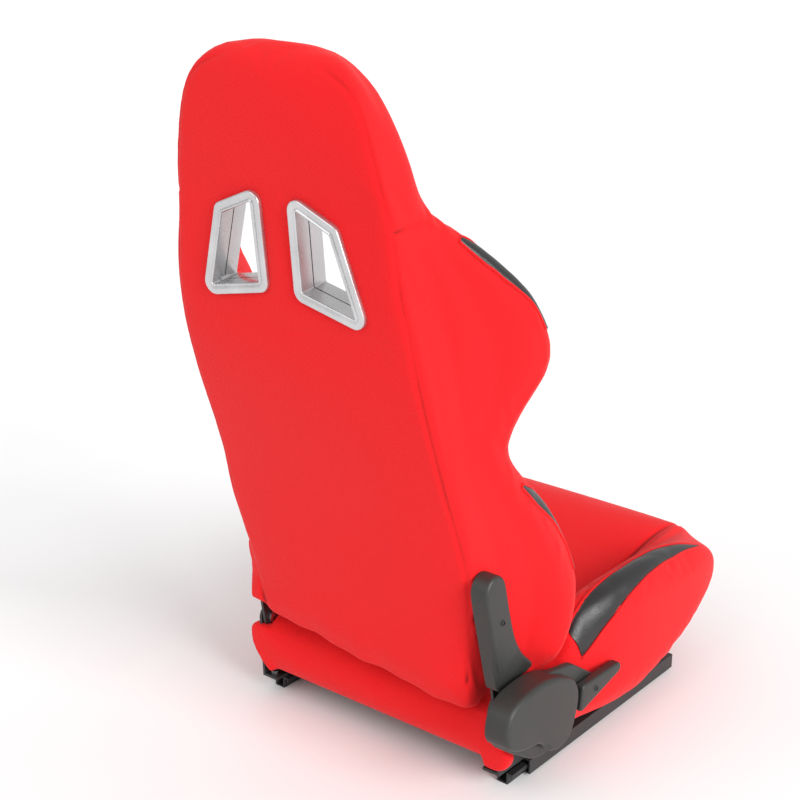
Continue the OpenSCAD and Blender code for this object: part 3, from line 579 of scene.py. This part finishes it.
def moulded_plastic(name, colour):
    f = Finish(name)
    grain = f.noise(1500, 2, 0.6)
    broad = f.noise(14, 4, 0.6)
    scuffs = f.noise(70, 5, 0.7, (1, 0.25, 1.6))
    base = f.blend(f.ramp(broad, 0.3, 0.7), shade(colour, 0.82), shade(colour, 1.25))
    base = f.blend(f.ramp(scuffs, 0.60, 0.78, 0.0, 0.35), base, shade(colour, 2.6))
    f.colour(base)
    f.roughness(f.ramp(broad, 0.25, 0.75, 0.40, 0.54))
    f.put(Specular_IOR_Level=0.5)
    f.bump([(broad, 0.002, 0.05), (grain, 0.00018, 0.35)])
    return f.material


def satin_silver(name, colour):
    f = Finish(name)
    fine = f.noise(1900, 2, 0.5)
    broad = f.noise(24, 3, 0.5)
    f.colour(f.blend(f.ramp(broad, 0.3, 0.7), shade(colour, 0.9), shade(colour, 1.08)))
    f.roughness(f.ramp(broad, 0.3, 0.7, 0.24, 0.34))
    f.put(Metallic=0.85)
    f.bump([(fine, 0.0001, 0.16), (broad, 0.001, 0.03)])
    return f.material


def coated_steel(name):
    f = Finish(name)
    fine = f.noise(800, 3, 0.6)
    broad = f.noise(22, 4, 0.6)
    worn = f.noise(60, 6, 0.75, (1, 0.12, 1))
    base = f.blend(f.ramp(broad, 0.3, 0.7), (0.012, 0.012, 0.013), (0.026, 0.025, 0.026))
    f.colour(f.blend(f.ramp(worn, 0.64, 0.72), base, (0.13, 0.125, 0.12)))
    f.roughness(f.ramp(broad, 0.3, 0.7, 0.38, 0.55))
    f.link(f.ramp(worn, 0.64, 0.72, 0.0, 0.7), f.shader.inputs["Metallic"])
    f.bump([(fine, 0.0002, 0.25), (broad, 0.001, 0.05)])
    return f.material


def zinc_plate(name):
    f = Finish(name)
    brushed = f.noise(420, 3, 0.6, (0.15, 1, 1))
    broad = f.noise(30, 3, 0.5)
    f.colour(f.blend(f.ramp(broad, 0.3, 0.7), (0.42, 0.42, 0.43), (0.62, 0.61, 0.60)))
    f.roughness(f.ramp(brushed, 0.3, 0.7, 0.24, 0.42))
    f.put(Metallic=1.0)
    f.bump([(brushed, 0.0002, 0.25)])
    return f.material


def pale_floor(name):
    f = Finish(name)
    f.colour(f.blend(f.ramp(f.noise(3, 2), 0.3, 0.7), (0.86, 0.86, 0.86), (0.88, 0.88, 0.88)))
    f.put(Roughness=0.7, Specular_IOR_Level=0.2)
    return f.material


SHARED = {}


def finish_of(key):
    if key not in SHARED:
        cloth, parts = bpy.context.scene.seat_upholstery, bpy.context.scene.seat_hardware
        SHARED[key] = {
            "cloth": lambda: woven_cloth("red_cloth", tuple(cloth.cloth_colour)),
            "piping": lambda: woven_cloth("red_piping", shade(tuple(cloth.cloth_colour), 0.8)),
            "vinyl": lambda: grained_vinyl("black_vinyl", tuple(cloth.vinyl_colour)),
            "plastic": lambda: moulded_plastic("black_plastic", tuple(parts.plastic_colour)),
            "silver": lambda: satin_silver("satin_silver", tuple(parts.bezel_colour)),
            "steel": lambda: coated_steel("coated_steel"),
            "zinc": lambda: zinc_plate("zinc_plate"),
        }[key]()
    return SHARED[key]


# ---------------------------------------------------------------- padding

def joined_copy(name, nodes, extra=()):
    """New object from copies of CAD meshes and of some extra objects."""
    bpy.ops.object.select_all(action="DESELECT")
    copies = [new_object(name, NODE[n].data.copy()) for n in nodes] + list(extra)
    for o in copies:
        o.select_set(True)
    bpy.context.view_layer.objects.active = copies[0]
    bpy.ops.object.join()
    piece = bpy.context.view_layer.objects.active
    piece.name = piece.data.name = name
    return piece


def keep_largest(obj):
    """Deletes every loose part of a mesh but its largest."""
    bm = bmesh.new()
    bm.from_mesh(obj.data)
    bm.verts.ensure_lookup_table()
    seen, islands = set(), []
    for v in bm.verts:
        if v.index in seen:
            continue
        stack, island = [v], []
        seen.add(v.index)
        while stack:
            w = stack.pop()
            island.append(w)
            for e in w.link_edges:
                o = e.other_vert(w)
                if o.index not in seen:
                    seen.add(o.index)
                    stack.append(o)
        islands.append(island)
    islands.sort(key=len)
    bmesh.ops.delete(bm, geom=[v for island in islands[:-1] for v in island], context="VERTS")
    bm.to_mesh(obj.data)
    bm.free()


def soften(obj, rounds):
    m = obj.modifiers.new("Smooth", "SMOOTH")
    m.factor = 0.5
    m.iterations = rounds
    apply_all(obj)


def remesh(obj, size):
    pick_only(obj)
    obj.data.remesh_voxel_size = size
    bpy.ops.object.voxel_remesh()


def swell(obj, held, pressure, limit, steps=14):
    """Cloth simulation: the cover swells under pressure and stays put where it is sewn."""
    rest = coordinates(obj)
    group = obj.vertex_groups.new(name="sewn")
    for i in np.nonzero(held > 0.02)[0]:
        group.add([int(i)], float(min(held[i], 1.0)), "REPLACE")
    m = obj.modifiers.new("Cloth", "CLOTH")
    s = m.settings
    s.quality = 3
    s.mass = 0.25
    s.tension_stiffness = s.compression_stiffness = 12
    s.shear_stiffness = 6
    s.bending_stiffness = 0.6
    s.tension_damping = s.compression_damping = s.shear_damping = 8
    s.use_pressure = True
    s.uniform_pressure_force = pressure
    s.effector_weights.gravity = 0
    s.vertex_group_mass = "sewn"
    m.collision_settings.use_collision = False
    m.collision_settings.use_self_collision = False
    m.point_cache.frame_start = 1
    m.point_cache.frame_end = steps
    scene = bpy.context.scene
    for k in range(1, steps + 1):
        scene.frame_set(k)
    swollen = obj.evaluated_get(bpy.context.evaluated_depsgraph_get())
    new = coordinates(swollen)
    obj.modifiers.remove(m)
    obj.vertex_groups.clear()
    scene.frame_set(1)
    if not np.isfinite(new).all():
        raise RuntimeError("the cloth simulation of " + obj.name + " went wrong")
    move = new - rest
    length = np.linalg.norm(move, axis=1)
    move *= (limit * np.tanh(length / limit) / np.maximum(length, 1e-9))[:, None]
    set_coordinates(obj, rest + move)


def sew(obj, seams, depth):
    """Presses the seams into the cover and stores how near each point is to one, which the cloth uses for
    painted shade along the seams.
    """
    co = coordinates(obj)
    away = line_distance(co, seams)
    press = depth * np.exp(-((away / SEAM_WIDTH) ** 2))
    set_coordinates(obj, co - normals(obj) * press[:, None])
    # nearness to a seam, which the cloth turns into painted shade
    layer = obj.data.attributes.new("seam", "FLOAT", "POINT")
    layer.data.foreach_set("value", np.exp(-((away / SEAM_SHADE) ** 2)).astype(np.float32))


def panel_map(obj):
    """UV map in metres: side panels run along Y and Z, the others across X and round the piece."""
    mesh = obj.data
    count = len(mesh.polygons)
    n = np.empty(count * 3)
    mesh.polygons.foreach_get("normal", n)
    n = n.reshape(-1, 3)
    totals = np.empty(count, dtype=np.int32)
    mesh.polygons.foreach_get("loop_total", totals)
    face = np.repeat(np.arange(count), totals)
    index = np.empty(len(mesh.loops), dtype=np.int32)
    mesh.loops.foreach_get("vertex_index", index)
    x, y, z = coordinates(obj)[index].T
    side = np.abs(n[face, 0]) > SIDE_PANEL
    under = n[face, 2] < 0
    u = np.where(side, y, x)
    v = np.where(side, z, np.where(under, z + y - 0.436, z - y))
    layer = mesh.uv_layers.new(name="panel")
    layer.data.foreach_set("uv", np.stack([u, v], 1).astype(np.float32).ravel())


def refine(obj):
    """Subdivides a padded piece once."""
    m = obj.modifiers.new("Subdivision", "SUBSURF")
    m.levels = m.render_levels = 1
    apply_all(obj)


def both_sides(points, count):
    return [curve_points(mirrored(points, s), count) for s in (1, -1)]


def hole_frame(side, front):
    """Matrix from a flat bezel, face up, to its place on the backrest."""
    along = Vector((0, math.sin(HOLE_LEAN), math.cos(HOLE_LEAN)))
    inwards = Vector((0, -math.cos(HOLE_LEAN), math.sin(HOLE_LEAN)))
    up = inwards if front else -inwards
    origin = Vector((0, HOLE_PLACE[0], HOLE_PLACE[1])) * MM
    if front:
        origin += inwards * HOLE_DEPTH * MM
    m = Matrix.Identity(4)
    across = (side, 0.0, 0.0)
    for row in range(3):
        m[row] = (across[row], along[row], up[row], origin[row])
    return m


def shrink(points, d):
    """Outline moved inwards by a distance, corner by corner."""
    out = []
    n = len(points)
    for i in range(n):
        p, q, r = Vector(points[i - 1]), Vector(points[i]), Vector(points[(i + 1) % n])
        u, v = (q - p).normalized(), (r - q).normalized()
        turn = u.x * v.y - u.y * v.x
        sign = 1 if turn > 0 else -1
        nu, nv = Vector((-u.y, u.x)) * sign, Vector((-v.y, v.x)) * sign
        w = (nu + nv) / (1 + nu.dot(nv))
        out.append(q + w * d)
    return out


def hole_plug(side):
    """Block that fills a harness hole while the padding is made."""
    obj = start_plate("plug", [Vector(p) for p in shrink(HOLE, -4)])
    raise_face(HOLE_DEPTH - 6.5)
    m = hole_frame(side, False)
    place(obj, m @ Matrix.Translation((0, 0, -(HOLE_DEPTH - 3.6) * MM)), False)
    return obj


def arm_pad():
    """Padding over the left hinge arm."""
    return block((0.1935, 0.218, 0.210), (0.028, 0.038, 0.096))


def inside_outline(p, outline):
    """Whether a flat point lies in a closed outline."""
    hit = False
    for a, b in zip(outline, outline[1:] + outline[:1]):
        if (a[1] > p[1]) != (b[1] > p[1]) and p[0] < (b[0] - a[0]) * (p[1] - a[1]) / (b[1] - a[1]) + a[0]:
            hit = not hit
    return hit


# ---------------------------------------------------------------- operators

class SEAT_OT_backrest_cover(bpy.types.Operator):
    """Sewn cloth cover of the backrest, swollen by its foam, with its seams"""

    bl_idname = "seat.backrest_cover"
    bl_label = "Backrest cover"

    def execute(self, context):
        p = context.scene.seat_upholstery
        plugs = [hole_plug(s) for s in (1, -1)] + [arm_pad()]
        piece = joined_copy("backrest_cloth", BACK_SOFT + ["back_frame", "back_springs"], plugs)
        remesh(piece, p.voxel)
        keep_largest(piece)
        soften(piece, 6)
        set_coordinates(piece, coordinates(piece) - normals(piece) * self.firm(coordinates(piece)))
        seams = both_sides(REAR_SEAM, 90) + both_sides(NECK_SEAM, 24) + both_sides(INSERT_SEAM, 80)
        co = coordinates(piece)
        held = np.exp(-((line_distance(co, seams) / 0.006) ** 2))
        held = np.maximum(held, self.near_holes(co))
        held = np.maximum(held, np.clip((BASE_HEIGHT - co[:, 2]) / 0.014, 0, 1))
        swell(piece, held, p.pressure, p.swell_limit)
        refine(piece)
        set_coordinates(piece, coordinates(piece) + self.slack(piece))
        self.drop_hem(piece)
        sew(piece, seams, 0.0032)
        outline = [tuple(q) for q in shrink(HOLE, 9)]

        def in_hole(f):
            c = f.calc_center_median() / MM
            if c.y < 300 or not 640 < c.z < 830:
                return False
            local = (abs(c.x), (c.z - HOLE_PLACE[1]) / math.cos(HOLE_LEAN))
            return inside_outline(local, outline)

        drop_faces(piece, in_hole)
        panel_map(piece)
        smooth(piece, 80)
        finish_piece(piece, "backrest", finish_of("cloth"), BACK_SOFT)
        return {"FINISHED"}

    @staticmethod
    def drop_hem(piece):
        """Lets the rear panel hang lower over the cushion's roll, more on the sitter's right."""
        co = coordinates(piece)
        x, y, z = co.T / MM
        low = np.clip((240 - z) / 85, 0, 1)
        behind = np.clip((y - 184) / 30, 0, 1)
        drop = np.clip(18 - 0.1 * x, 0, 34) * low * low * (3 - 2 * low) * behind
        co[:, 2] -= drop * MM
        set_coordinates(piece, co)

    @staticmethod
    def firm(co):
        """The cover starts a little inside, except at its lower hem."""
        return 0.0022 * np.clip((co[:, 2] - 0.17) / 0.03, 0, 1)[:, None]

    @staticmethod
    def near_holes(co):
        """Marks the cloth round the harness holes, which stays put."""
        y = (co[:, 2] / MM - HOLE_PLACE[1]) / math.cos(HOLE_LEAN)
        x = np.abs(co[:, 0]) / MM
        inside = (x > 8) & (x < 146) & (y > -62) & (y < 128) & (co[:, 1] > 0.315)
        return inside.astype(float)

    @staticmethod
    def slack(piece):
        """Small slack waves along the lower hem of the rear panel and gathers at the neck."""
        co = coordinates(piece)
        n = normals(piece)
        x, y, z = co.T / MM
        hem = np.clip((225 - z) / 70, 0, 1) ** 2 * np.clip((y - 195) / 25, 0, 1)
        wave = hem * (1.4 * np.sin(x / 21.0 + 0.8) + 0.8 * np.sin(x / 9.3 + 2.0))
        neck = np.exp(-((z - 789) / 15) ** 2) * np.clip((np.abs(x) - 150) / 20, 0, 1)
        neck = neck * np.clip((345 - y) / 40, 0, 1)
        wave += neck * 1.1 * np.sin((y + z * 0.6) / 3.1)
        return n * (wave * MM)[:, None]


def lower_corners():
    """Rear ends of the cushion's roll, which close it behind the hinge plates."""
    ends = []
    for outline in (LEFT_END, RIGHT_END):
        obj = start_plate("end", even_outline(cut_corners(outline, 2), 60))
        raise_face(17)
        place(obj, Matrix(((1, 0, 0, 0), (0, 0, -1, 0.2145), (0, 1, 0, 0), (0, 0, 0, 1))), False)
        ends.append(obj)
    return ends


class SEAT_OT_cushion_cover(bpy.types.Operator):
    """Sewn cloth cover of the cushion, swollen by its foam, with its seams"""

    bl_idname = "seat.cushion_cover"
    bl_label = "Cushion cover"

    def execute(self, context):
        p = context.scene.seat_upholstery
        piece = joined_copy("cushion_cloth", CUSHION_SOFT[1:], lower_corners())
        remesh(piece, p.voxel * 0.85)
        keep_largest(piece)
        soften(piece, 5)
        set_coordinates(piece, coordinates(piece) + normals(piece) * 0.0006)
        seams = both_sides(CUSHION_SEAM, 70) + [[Vector(q) * MM for q in FRONT_SEAM]]
        co = coordinates(piece)
        held = np.exp(-((line_distance(co, seams) / 0.007) ** 2))
        held = np.maximum(held, np.clip((0.046 - co[:, 2]) / 0.006, 0, 1))
        cut = (co[:, 1] > 0.122) & (np.abs(co[:, 0]) > 0.188)
        held = np.maximum(held, cut.astype(float))
        swell(piece, held, p.pressure, p.swell_limit)
        refine(piece)
        x, y, z = coordinates(piece).T / MM
        roll = np.clip((y - 175) / 25, 0, 1) * np.clip((z - 60) / 40, 0, 1)
        wave = roll * (0.8 * np.sin(x / 27.0) + 0.5 * np.sin(x / 11.0 + 1.0)) * MM
        set_coordinates(piece, coordinates(piece) + normals(piece) * wave[:, None])
        sew(piece, seams, 0.003)
        panel_map(piece)
        smooth(piece, 80)
        finish_piece(piece, "seat_base", finish_of("cloth"), CUSHION_SOFT)
        return {"FINISHED"}


def vinyl_strip(name, surface, edges, side, body, node, count, across=11):
    """Strip of vinyl that lies on a padded surface between two edges, with piping along both."""
    low, high = (curve_points(mirrored(e, side), count) for e in edges)
    at, up = np.empty((count, across, 3)), np.empty((count, across, 3))
    for i in range(count):
        for k in range(across):
            point, normal, _, _ = surface.find_nearest(low[i].lerp(high[i], k / (across - 1)))
            at[i, k], up[i, k] = point, normal
    for grid in (at, up):
        for _ in range(8):
            grid[1:-1] = (grid[:-2] + 2 * grid[1:-1] + grid[2:]) / 4
    run = np.concatenate([[0], np.cumsum(np.linalg.norm(np.diff(at[:, 0], axis=0), axis=1))])
    v = np.linspace(0, 1, across)
    lift = -0.0004 + 0.0027 * np.sin(np.pi * v) ** 0.6
    verts = (at + up * lift[None, :, None]).reshape(-1, 3).tolist()
    uvs = [(float(r), float(w)) for r in run for w in v]
    rims = [[Vector(q) for q in at[:, k] + up[:, k] * 0.0005] for k in (0, across - 1)]
    faces = []
    for i in range(count - 1):
        for k in range(across - 1):
            a = i * across + k
            quad = (a, a + 1, a + across + 1, a + across)
            faces.append(quad if side > 0 else quad[::-1])
    mesh = bpy.data.meshes.new(name)
    mesh.from_pydata(verts, [], faces)
    layer = mesh.uv_layers.new(name="strip")
    for loop in mesh.loops:
        layer.data[loop.index].uv = uvs[loop.vertex_index]
    obj = new_object(name, mesh)
    middle = mesh.polygons[len(faces) // 2]
    _, outwards, _, _ = surface.find_nearest(middle.center)
    if middle.normal.dot(outwards) < 0:
        mesh.flip_normals()
    thicken(obj, STRIP_THICKNESS)
    smooth(obj, 60)
    finish_piece(obj, body, finish_of("vinyl"), [node])
    piping(name + "_piping", rims[0] + rims[1][::-1], body)


def piping(name, points, body):
    """Closed round cord of cloth along the rims of a strip."""
    curve = bpy.data.curves.new(name, "CURVE")
    curve.dimensions = "3D"
    curve.bevel_depth = bpy.context.scene.seat_upholstery.piping_radius
    curve.bevel_resolution = 2
    spline = curve.splines.new("POLY")
    spline.points.add(len(points) - 1)
    for p, q in zip(spline.points, points):
        p.co = (*q, 1)
    spline.use_cyclic_u = True
    pick_only(new_object(name, curve))
    bpy.ops.object.convert(target="MESH")
    obj = bpy.context.object
    # empty seam layer: the piping gets no painted seam shade
    obj.data.attributes.new("seam", "FLOAT", "POINT")
    smooth(obj, 80)
    finish_piece(obj, body, finish_of("piping"))


class SEAT_OT_vinyl_strips(bpy.types.Operator):
    """Black vinyl strips on the bolsters and wings, with their piping and stitches"""

    bl_idname = "seat.vinyl_strips"
    bl_label = "Vinyl strips"

    def execute(self, context):
        cushion = surface_of(bpy.data.objects["cushion_cloth"])
        back = surface_of(bpy.data.objects["backrest_cloth"])
        strips = (
            ("cushion", cushion, CUSHION_STRIP, "seat_base", 90),
            ("shoulder", back, SHOULDER_STRIP, "backrest", 60),
            ("lumbar", back, LUMBAR_STRIP, "backrest", 60),
        )
        for side, word in ((1, "left"), (-1, "right")):
            for area, surface, edges, body, count in strips:
                node = f"{area}_accent_{word}"
                vinyl_strip(f"{area}_strip_{word}", surface, edges, side, body, node, count)
        return {"FINISHED"}


class SEAT_OT_harness_bezels(bpy.types.Operator):
    """Silver bezels of the two harness holes, with a rolled lip and a sleeve"""

    bl_idname = "seat.harness_bezels"
    bl_label = "Harness bezels"

    def execute(self, context):
        outline = fillet(shrink(HOLE, 2.2), 15, 8)
        for side, word in ((1, "left"), (-1, "right")):
            for front, where in ((False, "rear"), (True, "front")):
                obj = start_plate(f"bezel_{where}_shell_{word}", outline)
                raise_face(5.4)
                for width, rise in BEZEL_LIP:
                    inset(width, rise)
                raise_face(-(HOLE_DEPTH / 2 - 0.9))
                bpy.ops.mesh.delete(type="FACE")
                place(obj, hole_frame(side, front) @ Matrix.Translation((0, 0, -5.2 * MM)))
                pick_only(obj)
                bpy.ops.object.mode_set(mode="EDIT")
                bpy.ops.mesh.select_mode(type="EDGE")
                bpy.ops.mesh.select_all(action="DESELECT")
                bpy.ops.mesh.select_non_manifold(extend=False)
                bpy.ops.mesh.bridge_edge_loops()
                bpy.ops.mesh.select_all(action="SELECT")
                bpy.ops.mesh.normals_make_consistent(inside=False)
                bpy.ops.object.mode_set(mode="OBJECT")
                smooth(obj, 50)
                finish_piece(obj, "backrest", finish_of("silver"), [f"bezel_{where}_{word}"])
        return {"FINISHED"}


class SEAT_OT_recliner_cover(bpy.types.Operator):
    """Moulded cover over the recliner, with its drum and its low front part"""

    bl_idname = "seat.recliner_cover"
    bl_label = "Recliner cover"

    def execute(self, context):
        p = context.scene.seat_hardware
        drum = moulding("recliner_drum", cut_corners(COVER_OUTLINE, 3), 120, 235, 35, p.cover_round / MM, 6)
        front = moulding("recliner_front", hull_outline(WING_CIRCLES), 90, 243, 10, 3.5, 4)
        skirt = moulding("recliner_skirt", cut_corners(SKIRT_OUTLINE, 3), 110, 230, 20, 4, 4)
        for obj in (drum, front, skirt):
            thicken(obj, p.wall)
        # slot that the lever swings in
        slot = block((-0.2585, 0.105, 0.126), (0.005, 0.09, 0.040))
        m = drum.modifiers.new("Slot", "BOOLEAN")
        m.operation = "DIFFERENCE"
        m.solver = "EXACT"
        m.object = slot
        apply_all(drum)
        bpy.data.objects.remove(slot)
        bpy.ops.object.select_all(action="DESELECT")
        for obj in (front, skirt, drum):
            obj.select_set(True)
        context.view_layer.objects.active = drum
        bpy.ops.object.join()
        drum.name = "recliner_shell"
        smooth(drum, 38)
        finish_piece(drum, "seat_base", finish_of("plastic"), ["recliner_cover"])
        return {"FINISHED"}


def screw_head(name, at, face, body, node):
    """Dark screw with a raised rim and a round socket."""
    obj = start_plate(name, even_outline(hull_outline([(*at, SCREW_RADIUS)]), 32))
    raise_face(1.5)
    round_over(0.6, 3)
    inset(0.5, 0.0)
    inset(0.2, -1.5)
    place(obj, side_matrix(face), False)
    smooth(obj, 35)
    finish_piece(obj, body, finish_of("steel"), [node])


class SEAT_OT_arm_cover(bpy.types.Operator):
    """Moulded cover on the hinge arm, with its screw"""

    bl_idname = "seat.arm_cover"
    bl_label = "Arm cover"

    def execute(self, context):
        obj = moulding("arm_shell", cut_corners(ARM_OUTLINE, 2), 110, 206.5, 24.5, 5.5, 6)
        thicken(obj, context.scene.seat_hardware.wall)
        # its face leans in towards its foot
        co = coordinates(obj)
        low = np.clip((0.218 - co[:, 2] - 0.45 * (0.2 - co[:, 1])) / 0.030, 0, 1)
        outer = np.clip((-co[:, 0] - 0.2065) / 0.0245, 0, 1)
        co[:, 0] += 0.0055 * low * outer
        set_coordinates(obj, co)
        smooth(obj, 40)
        finish_piece(obj, "backrest", finish_of("plastic"), ["arm_cover"])
        screw_head("arm_screw_head", ARM_SCREW, 230.5, "backrest", "arm_cover_screw")
        return {"FINISHED"}


class SEAT_OT_lever_handle(bpy.types.Operator):
    """Moulded handle of the recliner lever"""

    bl_idname = "seat.lever_handle"
    bl_label = "Lever handle"

    def execute(self, context):
        obj = moulding("lever_grip", hull_outline(HANDLE_CIRCLES), 80, 255.5, 11.5, 3.2, 5, False)
        smooth(obj, 40)
        finish_piece(obj, "recliner_lever", finish_of("plastic"), ["lever_handle"])
        screw_head("lever_screw_head", LEVER_SCREW, 266.2, "recliner_lever", "lever_screw")
        return {"FINISHED"}


class SEAT_OT_metalwork(bpy.types.Operator):
    """Finishes of the rails, plates, fasteners and springs"""

    bl_idname = "seat.metalwork"
    bl_label = "Metalwork"

    def execute(self, context):
        key = {
            "black_steel": "steel", "zinc_steel": "zinc", "black_plastic": "plastic",
            "satin_silver": "silver", "black_vinyl": "vinyl", "red_cloth": "cloth", "foam": "cloth",
        }
        for row in frame["record"]["subparts"]:
            node = NODE[row["node"]]
            node.data.materials.clear()
            node.data.materials.append(finish_of(key[row["material_slot"]]))
        return {"FINISHED"}


class SEAT_OT_stage(bpy.types.Operator):
    """Pale floor, soft light and the camera"""

    bl_idname = "seat.stage"
    bl_label = "Stage"

    def execute(self, context):
        bpy.ops.object.select_all(action="DESELECT")
        bpy.ops.mesh.primitive_plane_add(size=60, location=(0, 0, 0))
        floor = context.object
        floor.name = "floor"
        floor.data.materials.append(pale_floor("pale_floor"))
        world = bpy.data.worlds.new("soft_room")
        world.use_nodes = True
        world.node_tree.nodes["Background"].inputs["Color"].default_value = (1, 1, 1, 1)
        world.node_tree.nodes["Background"].inputs["Strength"].default_value = ROOM_LIGHT
        context.scene.world = world
        context.scene.view_settings.view_transform = "Standard"
        self.sun("side_light", *SIDE_LIGHT)
        self.sun("rear_light", *REAR_LIGHT)
        camera = bpy.data.cameras.new("camera")
        camera.lens = CAMERA_LENS
        camera.sensor_width = 36
        camera.clip_end = 200
        obj = bpy.data.objects.new("camera", camera)
        context.scene.collection.objects.link(obj)
        east, north = math.cos(CAMERA_AZIMUTH), math.sin(CAMERA_AZIMUTH)
        level, drop = math.cos(CAMERA_ELEVATION), math.sin(CAMERA_ELEVATION)
        right = Vector((east, north, 0))
        ahead = Vector((-north * level, east * level, -drop))
        m = Matrix((right, right.cross(ahead), -ahead)).transposed().to_4x4()
        m.translation = Vector(CAMERA_TARGET) - ahead * CAMERA_DISTANCE
        obj.matrix_world = m
        context.scene.camera = obj
        return {"FINISHED"}

    @staticmethod
    def sun(name, towards, strength, spread):
        light = bpy.data.lights.new(name, "SUN")
        light.energy = strength
        light.angle = math.radians(spread)
        obj = bpy.data.objects.new(name, light)
        obj.rotation_mode = "QUATERNION"
        obj.rotation_quaternion = Vector(towards).to_track_quat("-Z", "Y")
        bpy.context.scene.collection.objects.link(obj)


class SEAT_PT_panel(bpy.types.Panel):
    """Builds the seat's looks one group at a time"""

    bl_label = "Bucket Seat"
    bl_space_type = "VIEW_3D"
    bl_region_type = "UI"
    bl_category = "Seat"

    def draw(self, context):
        for group in (context.scene.seat_upholstery, context.scene.seat_hardware):
            for name in group.__annotations__:
                self.layout.prop(group, name)
        for op in OPERATORS:
            self.layout.operator(op.bl_idname)


OPERATORS = (
    SEAT_OT_backrest_cover,
    SEAT_OT_cushion_cover,
    SEAT_OT_vinyl_strips,
    SEAT_OT_harness_bezels,
    SEAT_OT_recliner_cover,
    SEAT_OT_arm_cover,
    SEAT_OT_lever_handle,
    SEAT_OT_metalwork,
    SEAT_OT_stage,
)
CLASSES = (SeatUpholstery, SeatHardware, *OPERATORS, SEAT_PT_panel)


def register():
    for c in CLASSES:
        bpy.utils.register_class(c)
    bpy.types.Scene.seat_upholstery = bpy.props.PointerProperty(type=SeatUpholstery)
    bpy.types.Scene.seat_hardware = bpy.props.PointerProperty(type=SeatHardware)


def unregister():
    del bpy.types.Scene.seat_hardware
    del bpy.types.Scene.seat_upholstery
    for c in reversed(CLASSES):
        bpy.utils.unregister_class(c)


def main():
    register()
    bpy.ops.seat.backrest_cover()
    bpy.ops.seat.cushion_cover()
    bpy.ops.seat.vinyl_strips()
    bpy.ops.seat.harness_bezels()
    bpy.ops.seat.recliner_cover()
    bpy.ops.seat.arm_cover()
    bpy.ops.seat.lever_handle()
    bpy.ops.seat.metalwork()
    bpy.ops.seat.stage()


if __name__ == "__main__":
    main()
